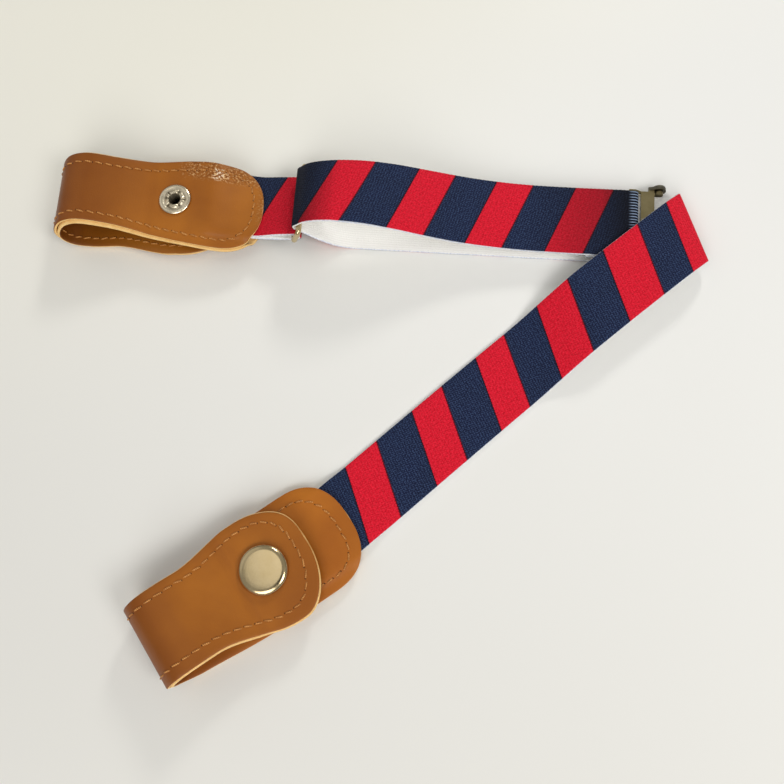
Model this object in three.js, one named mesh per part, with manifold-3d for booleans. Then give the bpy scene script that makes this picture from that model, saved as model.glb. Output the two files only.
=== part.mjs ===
// A child's buckle-free elastic belt, lying folded on a table.
// Two leather tabs close with snaps into loops for trouser belt loops. Striped elastic webbing
// runs between them: a short doubled strap, a wire ring, and a long strap that goes through the
// ring and is sewn to a clamp adjuster, which slides on the long strap itself.
// Millimetres, +Z up, the table top at Z = 0. The origin is the middle of the belt's footprint.
import * as THREE from "three";
import { mergeVertices } from "three/addons/utils/BufferGeometryUtils.js";
import Module from "manifold-3d";

const wasm = await Module();
wasm.setup();

// Webbing: elastic 25 mm wide
const WEB_HALF = 12.5;
const WEB_THICK = 1.2;

// Leather: two layers glued back to back, each 1.1 mm, drawn 0.3 mm apart
const LAYER_THICK = 1.1;
const LAYER_GAP = 0.3;
const LEATHER_THICK = 2 * LAYER_THICK + LAYER_GAP;
const LAYER_STEP = 0.4; // the inner layer stands this far proud of the outer one's edge, at the lobes
const CLEAR = 0.3;

// Outline of a tab, by distance from the outside of its loop bend
const SNAP_AT = 43.5;
const LOBE_POWER = 2.5; // above 2: the lobe's end is squarer than a half circle
const ARMS = {
  tab_a: {
    waist: 14.3,
    waistStep: 0.4,
    flap: { half: 18.3, flareFrom: 20, flareTo: 40, lobeFrom: 43.5, end: 59.7, bulge: 0.65, tip: 3.0 },
    fixed: { half: 17.9, flareFrom: 12, flareTo: 50, lobeFrom: 58.0, end: 74.6, bulge: 0, tip: 0 },
  },
  tab_b: {
    waist: 13.6,
    waistStep: 0.9,
    flap: { half: 17.8, flareFrom: 20, flareTo: 42, lobeFrom: 43.5, end: 61.0, bulge: 0, tip: 0 },
    fixed: { half: 16.6, flareFrom: 20, flareTo: 58, lobeFrom: 58.0, end: 74.2, bulge: 0, tip: 0 },
  },
};

// Snap fastener
const CAP_RADIUS = 8.0;
const CAP_RISE = 2.0;
const EYELET_RADIUS = 5.75;
const EYELET_HOLE = 2.0;
const SNAP_SPACE = 3.4; // between the facing leathers of a closed snap
const ROUND_SIDES = 24;

// Wire ring
const WIRE_RADIUS = 1.0;
const RING_BARS_APART = 7.5;
const RING_HALF_LENGTH = 14.5;

// Where things lie on the table. Headings are degrees from +X towards +Y.
const CENTRE = { x: -5.4, y: -4.4 }; // the middle of the footprint in the table's own axes
const TAB_A = { x: -76.05, y: -83.55, heading: 33.8 };
const TAB_B = { x: -119.6, y: 70.6, heading: -3.0 };
const LONG_STRAP_EXIT = { x: -16.5, y: -42.8, heading: 40.4 };
const LONG_STRAP_HIDDEN = 15; // sewn in between the layers of tab A
const FOLD = { x: 102.3, y: 55.74, line: 106.35 }; // where the strap leaves the fold, and its crease
const RETURN_HEADING = 175.3;
const FOLD_SKEW = 21.05; // between the strap and the square of the crease
const FOLD_SLIP = 1.1; // the elastic gives this much along the crease, on its hidden side

// Heights of the strap's middle surface
const ON_TABLE = 0.62;
const IN_TAB_A = 2.1;
const IN_ADJUSTER = 2.0;
const OVER_STACK = 7.7;

// Side view of the fold, read along the strap: each row is a stretch and how far it turns
const FOLD_STRETCHES = [
  { name: "over the stack", length: 3.0, turn: 0, steps: 1 },
  { name: "tips down", length: 5.0, turn: -22, steps: 4 },
  { name: "slopes down", length: 2.9, turn: 0, steps: 1 },
  { name: "turns over the edge", length: 2.62, turn: -79, steps: 7 },
  { name: "turns under", length: 2.62, turn: -79, steps: 7 },
];
const FOLD_START = -9.86; // from the middle of the bend, along the square of the crease

// Side view of the return, measured along the belt's long axis from the table frame's origin
const RING_TOP = { along: -30.8, z: 12.5 };
const RING_LOW = { along: -33.5, z: 5.5 };
const RING_ROLL = 11; // the near side stands higher
const RING_YAW = 3.2; // and lies further to the right; what is rolled less is yawed less
const LOOP_BAR = { along: 83.8, z: 4.75 };
const TAIL_DROP = 2.5; // from the upper layer, over the loop bar, to the sewn tail below it
const LOWER_RUN = [
  { along: 82.0, z: IN_ADJUSTER, roll: 0 },
  { along: 78.0, z: 1.7, roll: 0 },
  { along: 72.0, z: 0.9, roll: 0 },
  { along: 67.0, z: ON_TABLE, roll: 0 },
  { along: 20.0, z: ON_TABLE, roll: 0 },
  { along: -12.0, z: ON_TABLE, roll: 0 },
  { along: -18.0, z: 1.5, roll: 1.5 },
  { along: -24.0, z: 4.4, roll: 6 },
  { along: -29.0, z: 8.2, roll: 10 },
];
const UPPER_RUN = [
  { along: -28.5, z: 17.0, roll: 11 },
  { along: -21.0, z: 19.3, roll: 10 },
  { along: -10.0, z: 19.4, roll: 7 },
  { along: 1.0, z: 17.2, roll: 4 },
  { along: 12.0, z: 13.7, roll: 1.5 },
  { along: 23.5, z: 10.2, roll: 0 },
  { along: 35.0, z: 7.8, roll: 0 },
  { along: 47.0, z: 6.4, roll: 0 },
  { along: 58.0, z: 6.0, roll: 0 },
  { along: 75.0, z: 6.0, roll: 0 },
];
const TAIL_RUN = [
  { along: 81.5, z: 3.5, roll: 0 },
  { along: 78.5, z: 3.85, roll: 0 },
  { along: 75.0, z: 4.35, roll: 0 },
  { along: 68.0, z: 4.4, roll: 0 },
];
const SHORT_STRAP_SIDE = -0.4; // it lies this far to the near side of the belt's long axis
const SHORT_STRAP_SPREAD = 0.78; // half the distance between its two layers inside tab B
const SHORT_STRAP_HIDDEN = [-60.0, -56.0, -52.0, -47.0];
const SHORT_UPPER = { along: -40.2, z: 6.5, roll: 10 };
const SHORT_LOWER = { along: -40.2, z: 3.25, roll: 10 };

// Side views of the two tabs, from the flap's end round the bend to the fixed end
const TAB_A_SIDE = [
  { at: 59.7, z: 8.5, roll: 0 },
  { at: 51.5, z: 8.15, roll: 0 },
  { at: 43.5, z: 8.15, roll: 0 },
  { at: 37.5, z: 8.15, roll: 0 },
  { at: 33.5, z: 8.6, roll: 0 },
  { at: 23.0, z: 12.6, roll: 0 },
  { at: 13.0, z: 15.4, roll: 0 },
  { at: 6.0, z: 14.9, roll: 0 },
  { at: 1.4, z: 9.0, roll: 0 },
  { at: 4.6, z: 2.9, roll: 0 },
  { at: 11.0, z: 1.35, roll: 0 },
  { at: 22.0, z: 1.7, roll: 0 },
  { at: 34.0, z: 2.25, roll: 0 },
  { at: 43.5, z: 2.25, roll: 0 },
  { at: 53.0, z: 2.2, roll: 0 },
  { at: 60.0, z: 2.1, roll: 0 },
  { at: 74.6, z: 2.1, roll: 0 },
];
const TAB_B_SIDE = [
  { at: 61.0, z: 1.6, roll: 0 },
  { at: 56.5, z: 2.4, roll: 0 },
  { at: 51.5, z: 3.55, roll: 0 },
  { at: 43.5, z: 3.65, roll: 0 },
  { at: 37.0, z: 3.65, roll: 0 },
  { at: 32.5, z: 3.35, roll: 0 },
  { at: 22.0, z: 1.9, roll: 0 },
  { at: 11.0, z: 1.35, roll: 0 },
  { at: 4.9, z: 3.2, roll: 0 },
  { at: 2.2, z: 9.0, roll: 0 },
  { at: 5.5, z: 14.6, roll: 0 },
  { at: 12.0, z: 16.1, roll: 0 },
  { at: 22.0, z: 13.7, roll: 0 },
  { at: 34.0, z: 9.95, roll: 0 },
  { at: 38.0, z: 9.55, roll: 0 },
  { at: 43.5, z: 9.5, roll: 0 },
  { at: 49.5, z: 9.4, roll: 0.3 },
  { at: 57.0, z: 7.8, roll: 2.5 },
  { at: 63.0, z: 6.2, roll: 5 },
  { at: 69.0, z: 5.2, roll: 7 },
  { at: 74.2, z: 4.8, roll: 8 },
];

const UP = new THREE.Vector3(0, 0, 1);
const radians = THREE.MathUtils.degToRad;
const smoothstep = THREE.MathUtils.smoothstep;
const heading = (degrees) => new THREE.Vector3(Math.cos(radians(degrees)), Math.sin(radians(degrees)), 0);

// Materials: colours and finishes as they look
const material = (color, roughness, metalness = 0) =>
  new THREE.MeshStandardMaterial({ color, roughness, metalness });
const webbing = material(0x8e2338, 0.85);
const leather = material(0xa8662c, 0.45);
const leatherInside = material(0x94571f, 0.55);
const nickel = material(0xd5d2c8, 0.15, 1);
const darkNickel = material(0x8d8a78, 0.25, 1);

// A closed mesh as a solid that can be cut and joined, and the way back
function solidOf(geometry) {
  const bare = new THREE.BufferGeometry();
  const source = geometry.index ? geometry : mergeVertices(geometry, 1e-4);
  bare.setAttribute("position", source.getAttribute("position"));
  bare.setIndex(source.index);
  const merged = mergeVertices(bare, 1e-4);
  return new wasm.Manifold(
    new wasm.Mesh({
      numProp: 3,
      vertProperties: new Float32Array(merged.attributes.position.array),
      triVerts: new Uint32Array(merged.index.array),
    }),
  );
}

function geometryOf(solid) {
  const mesh = solid.getMesh();
  const geometry = new THREE.BufferGeometry();
  geometry.setAttribute("position", new THREE.BufferAttribute(mesh.vertProperties, 3));
  geometry.setIndex(new THREE.BufferAttribute(mesh.triVerts, 1));
  geometry.computeVertexNormals();
  return geometry;
}

const joined = (...geometries) =>
  geometryOf(geometries.map(solidOf).reduce((whole, piece) => whole.add(piece)));

// A flat strip bent along its rows. Each row is a straight line across the strip: its middle
// point, the direction towards one edge and the half width. The faces are set off from the
// middle surface by two distances for each row, along the strip's own normal.
function bentStrip(rows, offsets) {
  const last = rows.length - 1;
  const geometry = new THREE.BoxGeometry(1, 1, 1, last, 1, 1);
  const position = geometry.getAttribute("position");
  const normals = rows.map((row, i) => {
    const before = rows[Math.max(i - 1, 0)].middle;
    const after = rows[Math.min(i + 1, last)].middle;
    const tangent = after.clone().sub(before);
    return tangent.cross(row.across).normalize();
  });
  for (let i = 0; i < position.count; i++) {
    const index = Math.round((position.getX(i) + 0.5) * last);
    const row = rows[index];
    const [lower, upper] = offsets(row);
    const edge = Math.sign(position.getY(i)) * row.half;
    const point = row.middle
      .clone()
      .addScaledVector(row.across, edge)
      .addScaledVector(normals[index], position.getZ(i) > 0 ? upper : lower);
    position.setXYZ(i, point.x, point.y, point.z);
  }
  return geometry;
}

// A smooth side view through stations, as evenly spaced points with their roll
function sideView(stations, key, steps) {
  const curve = new THREE.CatmullRomCurve3(
    stations.map((s) => new THREE.Vector3(s[key], s.roll, s.z)),
    false,
    "centripetal",
  );
  return curve.getSpacedPoints(steps).map((p) => ({
    along: p.x,
    roll: p.y,
    z: Math.max(p.z, ON_TABLE + WEB_HALF * Math.sin(Math.abs(radians(p.y)))),
  }));
}

// An arc in the side view, clockwise when turn is negative
function sideArc(centre, radius, from, turn, steps, rollFrom, rollTo) {
  return Array.from({ length: steps + 1 }, (_, i) => {
    const angle = radians(from + (turn * i) / steps);
    return {
      along: centre.along + radius * Math.cos(angle),
      z: centre.z + radius * Math.sin(angle),
      roll: rollFrom + ((rollTo - rollFrom) * i) / steps,
    };
  });
}

// The line on which the return layers, the ring, the adjuster and the short strap lie
const axisDirection = heading(RETURN_HEADING).negate();
const axisAcross = heading(RETURN_HEADING - 90);
const axisPoint = (along, z) => {
  const travel = (along - FOLD.x) / axisDirection.x;
  return new THREE.Vector3(FOLD.x, FOLD.y, z).addScaledVector(axisDirection, travel);
};
const rolledAcross = (roll) =>
  heading(RETURN_HEADING - 90 + (RING_YAW * roll) / RING_ROLL)
    .multiplyScalar(Math.cos(radians(roll)))
    .addScaledVector(UP, -Math.sin(radians(roll)));
const axisRow = ({ along, z, roll }) => ({
  middle: axisPoint(along, z),
  across: rolledAcross(roll),
  half: WEB_HALF,
});

// The long strap, first run: from tab A over the table, up over the stack, to the fold
function frontRun() {
  const crease = heading(FOLD.line);
  const square = heading(FOLD.line - 90);
  const drift = Math.tan(radians(FOLD_SKEW));
  const foldLength = FOLD_STRETCHES.reduce((sum, stretch) => sum + stretch.length, 0);
  const bendMiddle = new THREE.Vector3(FOLD.x, FOLD.y, 0).addScaledVector(crease, -1.0);
  const foldEntry = bendMiddle
    .clone()
    .addScaledVector(square, FOLD_START)
    .addScaledVector(crease, 1.0 + FOLD_SLIP - drift * foldLength);

  const travel = heading(LONG_STRAP_EXIT.heading);
  const exit = new THREE.Vector3(LONG_STRAP_EXIT.x, LONG_STRAP_EXIT.y, 0);
  const entryHeading = heading(FOLD.line - 90 + FOLD_SKEW);
  const span = exit.distanceTo(foldEntry);
  const plan = new THREE.CubicBezierCurve3(
    exit,
    exit.clone().addScaledVector(travel, 0.55 * span),
    foldEntry.clone().addScaledVector(entryHeading, -0.25 * span),
    foldEntry,
  );
  const height = (point) => {
    const fromExit = point.clone().sub(exit).dot(travel);
    const toFold = point.clone().sub(bendMiddle).dot(square);
    const leavesTab = smoothstep(fromExit, 2, 13);
    const climbs = smoothstep(toFold, -70, -40);
    const low = THREE.MathUtils.lerp(IN_TAB_A, ON_TABLE, leavesTab);
    return THREE.MathUtils.lerp(low, OVER_STACK, climbs);
  };
  const rows = [];
  const addRow = (point, direction, skew) => {
    const across = new THREE.Vector3(-direction.y, direction.x, 0);
    across.addScaledVector(direction, Math.tan(radians(skew)));
    const left = point.clone().addScaledVector(across, WEB_HALF);
    const right = point.clone().addScaledVector(across, -WEB_HALF);
    left.z = height(left);
    right.z = height(right);
    rows.push({
      middle: left.clone().add(right).multiplyScalar(0.5),
      across: left.clone().sub(right).normalize(),
      half: left.distanceTo(right) / 2,
    });
  };
  for (const back of [LONG_STRAP_HIDDEN, 8, 1]) addRow(exit.clone().addScaledVector(travel, -back), travel, 0);
  const steps = 44;
  for (let i = 1; i < steps; i++) {
    const share = i / steps;
    const skew = FOLD_SKEW * smoothstep(share, 0.12, 0.45);
    addRow(plan.getPointAt(share), plan.getTangentAt(share), skew);
  }

  // The fold itself: a roll about the crease, drifting along it because the strap meets it askew
  const point = foldEntry.clone();
  point.z = OVER_STACK;
  let slope = 0;
  const creaseRow = () => ({
    middle: point.clone(),
    across: crease.clone(),
    half: WEB_HALF / Math.cos(radians(FOLD_SKEW)),
  });
  rows.push(creaseRow());
  for (const stretch of FOLD_STRETCHES) {
    const step = stretch.length / stretch.steps;
    const slip = stretch.name === "turns under" ? FOLD_SLIP / stretch.steps : 0;
    const bend = radians(stretch.turn) / stretch.steps;
    for (let i = 0; i < stretch.steps; i++) {
      const middle = slope + bend / 2;
      const chord = Math.abs(bend) > 0 ? (step * Math.sin(bend / 2)) / (bend / 2) : step;
      point
        .addScaledVector(square, chord * Math.cos(middle))
        .addScaledVector(UP, chord * Math.sin(middle))
        .addScaledVector(crease, drift * step - slip);
      slope += bend;
      rows.push(creaseRow());
    }
  }
  return { rows, exitOfFold: point.clone() };
}

// The long strap, second run: flat through the adjuster, along the table, round the ring's top
// bar, back over the hump and round the adjuster's loop bar, with its end sewn underneath
function returnRun(from) {
  const rows = [];
  const start = from.x;
  const unskewed = 84.5;
  const steps = 5;
  for (let i = 1; i <= steps; i++) {
    const along = THREE.MathUtils.lerp(start, unskewed, i / steps);
    const skew = FOLD_SKEW * (1 - i / steps);
    const across = axisAcross.clone().addScaledVector(axisDirection, -Math.tan(radians(skew)));
    rows.push({
      middle: axisPoint(along, IN_ADJUSTER),
      across: across.clone().normalize(),
      half: WEB_HALF * across.length(),
    });
  }
  const wrap = WIRE_RADIUS + CLEAR + WEB_THICK / 2;
  const round = sideArc(RING_TOP, wrap, 232, -112, 8, RING_ROLL, RING_ROLL);
  const bar = sideArc(LOOP_BAR, TAIL_DROP / 2, 90, -180, 10, 0, 0);
  const lower = sideView([...LOWER_RUN, round[0]], "along", 34).slice(0, -1);
  const upper = sideView([round[round.length - 1], ...UPPER_RUN, bar[0]], "along", 34).slice(1, -1);
  const tail = sideView([bar[bar.length - 1], ...TAIL_RUN], "along", 6).slice(1);
  rows.push(...[...lower, ...round, ...upper, ...bar, ...tail].map(axisRow));
  return rows;
}

const webFaces = () => [-WEB_THICK / 2, WEB_THICK / 2];

function longStrap() {
  const { rows, exitOfFold } = frontRun();
  return bentStrip([...rows, ...returnRun(exitOfFold)], webFaces);
}

// The short strap: doubled round the ring's lower bar, both ends between the layers of tab B
function shortStrap(tabMiddle) {
  const wrap = WIRE_RADIUS + CLEAR + WEB_THICK / 2;
  const round = sideArc(RING_LOW, wrap, 95, -190, 10, RING_ROLL, RING_ROLL);
  const inTab = (side) =>
    SHORT_STRAP_HIDDEN.map((along) => {
      const { z, roll } = tabMiddle(along);
      return { along, z: z + side * SHORT_STRAP_SPREAD, roll };
    });
  const upper = sideView([...inTab(1), SHORT_UPPER, round[0]], "along", 14).slice(0, -1);
  const lower = sideView([round[round.length - 1], SHORT_LOWER, ...inTab(-1).reverse()], "along", 14);
  const rows = [...upper, ...round, ...lower.slice(1)].map(axisRow);
  rows.forEach((row) => row.middle.addScaledVector(row.across, SHORT_STRAP_SIDE));
  return bentStrip(rows, webFaces);
}

// The ring: one closed wire, its two long bars across the straps
function ring() {
  const along = axisDirection;
  const across = rolledAcross(RING_ROLL);
  const low = axisPoint(RING_LOW.along, RING_LOW.z);
  const top = axisPoint(RING_TOP.along, RING_TOP.z);
  const rise = top.clone().sub(low).normalize().multiplyScalar(RING_BARS_APART);
  const corner = 1.5;
  const corners = [
    low.clone().addScaledVector(across, -RING_HALF_LENGTH),
    low.clone().addScaledVector(across, RING_HALF_LENGTH),
    low.clone().add(rise).addScaledVector(across, RING_HALF_LENGTH),
    low.clone().add(rise).addScaledVector(across, -RING_HALF_LENGTH),
  ];
  const path = new THREE.CurvePath();
  const inset = (a, b) => a.clone().add(b.clone().sub(a).setLength(corner));
  corners.forEach((here, i) => {
    const before = corners[(i + 3) % 4];
    const after = corners[(i + 1) % 4];
    path.add(new THREE.QuadraticBezierCurve3(inset(here, before), here, inset(here, after)));
    path.add(new THREE.LineCurve3(inset(here, after), inset(after, here)));
  });
  return new THREE.TubeGeometry(path, 48, WIRE_RADIUS, 8, true);
}

// Half width of a tab's arm at a distance from the bend
const lobeShare = (at, arm) => Math.max(0, (at - arm.lobeFrom) / (arm.end - arm.lobeFrom));
const besideSnap = (at) => smoothstep(at, 34, 44) - smoothstep(at, 48, 58);

function armHalfWidth(at, arm, waist) {
  const straight = THREE.MathUtils.lerp(waist, arm.half, smoothstep(at, arm.flareFrom, arm.flareTo));
  const body = straight + arm.bulge * besideSnap(at);
  const round = Math.pow(Math.max(0, 1 - Math.pow(lobeShare(at, arm), LOBE_POWER)), 1 / LOBE_POWER);
  return Math.max(body * round, 1.5);
}

// Rows of a tab, from the flap's end round the bend to the fixed end, closer at the lobes' ends
function tabRows(place, side, arms, { turnedOver, flapBow, fixedBow, bowReach, fixedSlant, flapSlant }) {
  const curve = new THREE.CatmullRomCurve3(
    side.map((s) => new THREE.Vector3(s.at, s.roll, s.z)),
    false,
    "centripetal",
  );
  const direction = heading(place.heading);
  const left = heading(place.heading + 90);
  const count = 62;
  const rows = [];
  for (let i = 0; i <= count; i++) {
    const t = i / count;
    const eased = t - (0.5 * Math.sin(4 * Math.PI * t)) / (4 * Math.PI);
    const p = curve.getPointAt(THREE.MathUtils.clamp(eased, 0, 1));
    const onFlap = i < count / 2;
    const arm = onFlap ? arms.flap : arms.fixed;
    const bow = THREE.MathUtils.lerp(flapBow, fixedBow, smoothstep(eased, 0.42, 0.54));
    const slant = onFlap ? flapSlant : fixedSlant;
    const bowed = bow * Math.sin((Math.PI * (p.x + bowReach)) / (SNAP_AT + bowReach));
    const leaning = slant * (p.x - SNAP_AT) + arm.tip * Math.pow(lobeShare(p.x, arm), 4);
    const lateral = (p.x < SNAP_AT ? bowed : leaning) - arm.bulge * besideSnap(p.x);
    const roll = radians(p.y);
    const towardsFar = left.clone().multiplyScalar(Math.cos(roll)).addScaledVector(UP, -Math.sin(roll));
    rows.push({
      at: p.x,
      roll: p.y,
      onFlap,
      middle: new THREE.Vector3(place.x, place.y, p.z)
        .addScaledVector(direction, p.x)
        .addScaledVector(left, lateral),
      across: turnedOver ? towardsFar.negate() : towardsFar,
      half: armHalfWidth(p.x, arm, arms.waist),
      step: THREE.MathUtils.lerp(arms.waistStep, LAYER_STEP, smoothstep(p.x, arm.flareFrom, arm.flareTo)),
    });
  }
  return rows;
}

// The two layers open where the strap's end lies between them
function layerSpread(row, spread) {
  if (row.onFlap) return LAYER_GAP / 2;
  return THREE.MathUtils.lerp(LAYER_GAP / 2, spread, smoothstep(row.at, 48.5, 56.5));
}

function snapHole(place, radius) {
  const spot = snapSpot(place);
  const hole = new THREE.CylinderGeometry(radius, radius, 60, ROUND_SIDES);
  hole.rotateX(Math.PI / 2);
  hole.translate(spot.x, spot.y, 0);
  return solidOf(hole);
}

const snapSpot = (place) =>
  new THREE.Vector3(place.x, place.y, 0).addScaledVector(heading(place.heading), SNAP_AT);

function leatherLayer(place, rows, inner, spread) {
  const faces = (row) => {
    const near = layerSpread(row, spread);
    return inner ? [near, near + LAYER_THICK] : [-near - LAYER_THICK, -near];
  };
  const trimmed = inner ? rows : rows.map((row) => ({ ...row, half: Math.max(row.half - row.step, 1.1) }));
  return geometryOf(solidOf(bentStrip(trimmed, faces)).subtract(snapHole(place, 3.2)));
}

// Snap parts, turned about the snap's own axis. Height 0 is the outside of the fixed arm and
// heights grow towards the cap.
const turned = (profile) =>
  new THREE.LatheGeometry(
    profile.map(([radius, height]) => new THREE.Vector2(radius, height)),
    ROUND_SIDES,
  ).rotateX(Math.PI / 2);

const FIXED_INSIDE = LEATHER_THICK;
const FLAP_INSIDE = LEATHER_THICK + SNAP_SPACE;
const FLAP_OUTSIDE = FLAP_INSIDE + LEATHER_THICK;

const eyelet = () =>
  turned([
    [EYELET_HOLE, -0.75],
    [EYELET_HOLE + 0.9, -1.0],
    [EYELET_RADIUS - 1.2, -1.0],
    [EYELET_RADIUS, -0.6],
    [EYELET_RADIUS, -0.35],
    [2.75, -0.35],
    [2.75, FIXED_INSIDE + 1.6],
    [EYELET_HOLE, FIXED_INSIDE + 1.6],
    [EYELET_HOLE, -0.75],
  ]);

const stud = () =>
  turned([
    [3.05, FIXED_INSIDE + 0.32],
    [5.3, FIXED_INSIDE + 0.32],
    [5.3, FIXED_INSIDE + 0.75],
    [3.9, FIXED_INSIDE + 0.85],
    [3.8, FIXED_INSIDE + 1.4],
    [4.1, FIXED_INSIDE + 1.9],
    [3.8, FIXED_INSIDE + 2.4],
    [3.05, FIXED_INSIDE + 2.4],
    [3.05, FIXED_INSIDE + 0.32],
  ]);

const socket = () =>
  turned([
    [2.55, FLAP_INSIDE - 0.32],
    [2.55, FLAP_INSIDE - 0.7],
    [4.45, FLAP_INSIDE - 0.7],
    [4.45, FLAP_INSIDE - 2.2],
    [5.6, FLAP_INSIDE - 2.2],
    [6.3, FLAP_INSIDE - 1.5],
    [6.3, FLAP_INSIDE - 0.32],
    [2.55, FLAP_INSIDE - 0.32],
  ]);

function cap() {
  const base = FLAP_OUTSIDE + 0.35;
  const dome = [0, 0.25, 0.5, 0.7, 0.85, 0.95, 1].map((share) => [
    CAP_RADIUS * share,
    base + CAP_RISE * Math.sqrt(1 - 0.92 * share ** 4) - 0.05,
  ]);
  return turned([
    [0, FLAP_INSIDE - 0.6],
    [2.2, FLAP_INSIDE - 0.6],
    [2.2, base],
    [CAP_RADIUS - 0.3, base],
    ...dome.reverse(),
  ]);
}

function snapParts(group, place, name, fixedMiddle, turnedOver) {
  const spot = snapSpot(place);
  const parts = { cap: cap(), socket: socket(), stud: stud(), eyelet: eyelet() };
  for (const [part, geometry] of Object.entries(parts)) {
    const finish = part === "cap" || part === "eyelet" ? nickel : darkNickel;
    const mesh = new THREE.Mesh(geometry, finish);
    mesh.name = `${name}_snap_${part}`;
    const outside = turnedOver ? fixedMiddle + LEATHER_THICK / 2 : fixedMiddle - LEATHER_THICK / 2;
    mesh.position.set(spot.x, spot.y, outside);
    if (turnedOver) mesh.rotation.x = Math.PI;
    group.add(mesh);
  }
}

// The adjuster's own axes: X from the loop bar towards the hinge, Y across the strap
const ADJUSTER = {
  halfWidth: 13.6,
  sheet: 0.9,
  plateLow: 2.95,
  plateFrom: 3.0,
  plateTo: 7.6,
  hinge: 9.4,
  hingeHeight: 2.7,
  knuckleRadius: 2.4,
  knuckleFrom: 14.3,
  knuckleTo: 16.4,
  pinRadius: 0.72,
  boreRadius: 0.8,
};

const boxBetween = (x0, x1, y0, y1, z0, z1) =>
  new THREE.BoxGeometry(x1 - x0, y1 - y0, z1 - z0).translate((x0 + x1) / 2, (y0 + y1) / 2, (z0 + z1) / 2);

// An outline in the side view, cut from sheet standing between two distances across
function sideSheet(points, y0, y1, round) {
  const outline = new THREE.Shape(points.map(([x, z]) => new THREE.Vector2(x, z)));
  const sheet = new THREE.ExtrudeGeometry(outline, { depth: y1 - y0, bevelEnabled: false });
  sheet.rotateX(Math.PI / 2);
  sheet.translate(0, y1, 0);
  if (!round) return sheet;
  const disc = new THREE.CylinderGeometry(round.radius, round.radius, y1 - y0, 16);
  disc.translate(round.x, (y0 + y1) / 2, round.z);
  return joined(sheet, disc);
}

function knuckle() {
  const { knuckleRadius: r, knuckleFrom: from, knuckleTo: to, hinge, hingeHeight } = ADJUSTER;
  const profile = [
    [0, to],
    [0.6 * r, to - 0.15],
    [0.9 * r, to - 0.55],
    [r, to - 1.1],
    [r, from],
    [0, from],
  ];
  const shape = new THREE.LatheGeometry(profile.reverse().map(([x, y]) => new THREE.Vector2(x, y)), 16);
  return shape.translate(hinge, 0, hingeHeight);
}

function adjusterBase() {
  const a = ADJUSTER;
  const top = a.plateLow + a.sheet;
  const barHalf = 0.4;
  const bar = boxBetween(-1.35, 0.1, -a.halfWidth, a.halfWidth, LOOP_BAR.z - barHalf, LOOP_BAR.z + barHalf);
  const plate = boxBetween(a.plateFrom, a.plateTo, -a.halfWidth, a.halfWidth, a.plateLow, top);
  const rail = [
    [-1.35, LOOP_BAR.z - barHalf],
    [0.4, LOOP_BAR.z - barHalf],
    [2.6, a.plateLow],
    [3.6, a.plateLow],
    [3.6, top],
    [3.0, top],
    [0.8, LOOP_BAR.z + barHalf],
    [-1.35, LOOP_BAR.z + barHalf],
  ];
  const ear = [
    [a.plateTo - 2.0, a.plateLow],
    [a.plateTo, a.plateLow],
    [a.hinge - 0.4, a.hingeHeight - 1.6],
    [a.hinge + 0.4, a.hingeHeight + 1.75],
    [a.plateTo, top + 0.7],
    [a.plateTo - 2.0, top],
  ];
  let whole = solidOf(bar).add(solidOf(plate));
  for (const side of [-1, 1]) {
    const span = (y0, y1) => (side > 0 ? [y0, y1] : [-y1, -y0]);
    const reach = span(a.halfWidth - 0.5, a.knuckleFrom + 1.0);
    const tab = boxBetween(a.plateTo - 2.0, a.plateTo, ...reach, a.plateLow, top);
    const eye = knuckle();
    if (side < 0) eye.rotateZ(Math.PI).translate(2 * a.hinge, 0, 0);
    const bore = new THREE.CylinderGeometry(a.boreRadius, a.boreRadius, 3.0, 16);
    bore.translate(a.hinge, side * (a.knuckleTo - 0.6 - 1.5), a.hingeHeight);
    whole = whole
      .add(solidOf(sideSheet(rail, ...span(a.halfWidth - 0.8, a.halfWidth))))
      .add(solidOf(tab))
      .add(solidOf(sideSheet(ear, ...span(a.knuckleFrom, a.knuckleFrom + 1.0))))
      .add(solidOf(eye))
      .subtract(solidOf(bore));
  }
  return geometryOf(whole);
}

// The clamp lever: a cover under the strap, hinged at the far end from the loop bar
function adjusterLever() {
  const a = ADJUSTER;
  const low = 0.15;
  const high = low + 0.8;
  const end = a.hinge - 2.2;
  const cover = boxBetween(-1.6, end, -a.halfWidth, a.halfWidth, low, high);
  const tooth = boxBetween(end - 1.0, end, -WEB_HALF + 0.4, WEB_HALF - 0.4, high - 0.2, high + 0.15);
  const lip = boxBetween(-3.0, -1.2, -6.0, 6.0, low, high);
  const lug = [
    [end - 2.2, low],
    [end, low],
    [a.hinge + 0.6, a.hingeHeight - 1.35],
    [a.hinge - 0.6, a.hingeHeight + 1.35],
    [end - 0.6, high],
    [end - 2.2, high],
  ];
  let whole = solidOf(cover).add(solidOf(tooth)).add(solidOf(lip));
  for (const side of [-1, 1]) {
    const span = (y0, y1) => (side > 0 ? [y0, y1] : [-y1, -y0]);
    const round = { x: a.hinge, z: a.hingeHeight, radius: 1.45 };
    const pin = new THREE.CylinderGeometry(a.pinRadius, a.pinRadius, 2.0, 12);
    pin.translate(a.hinge, side * 14.5, a.hingeHeight);
    whole = whole.add(solidOf(sideSheet(lug, ...span(12.85, 13.95), round))).add(solidOf(pin));
  }
  return geometryOf(whole);
}

const belt = new THREE.Group();
const addMesh = (name, geometry, finish, parent = belt) => {
  const mesh = new THREE.Mesh(geometry, finish);
  mesh.name = name;
  parent.add(mesh);
};

addMesh("long_strap", longStrap(), webbing);
addMesh("ring", ring(), nickel);

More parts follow.
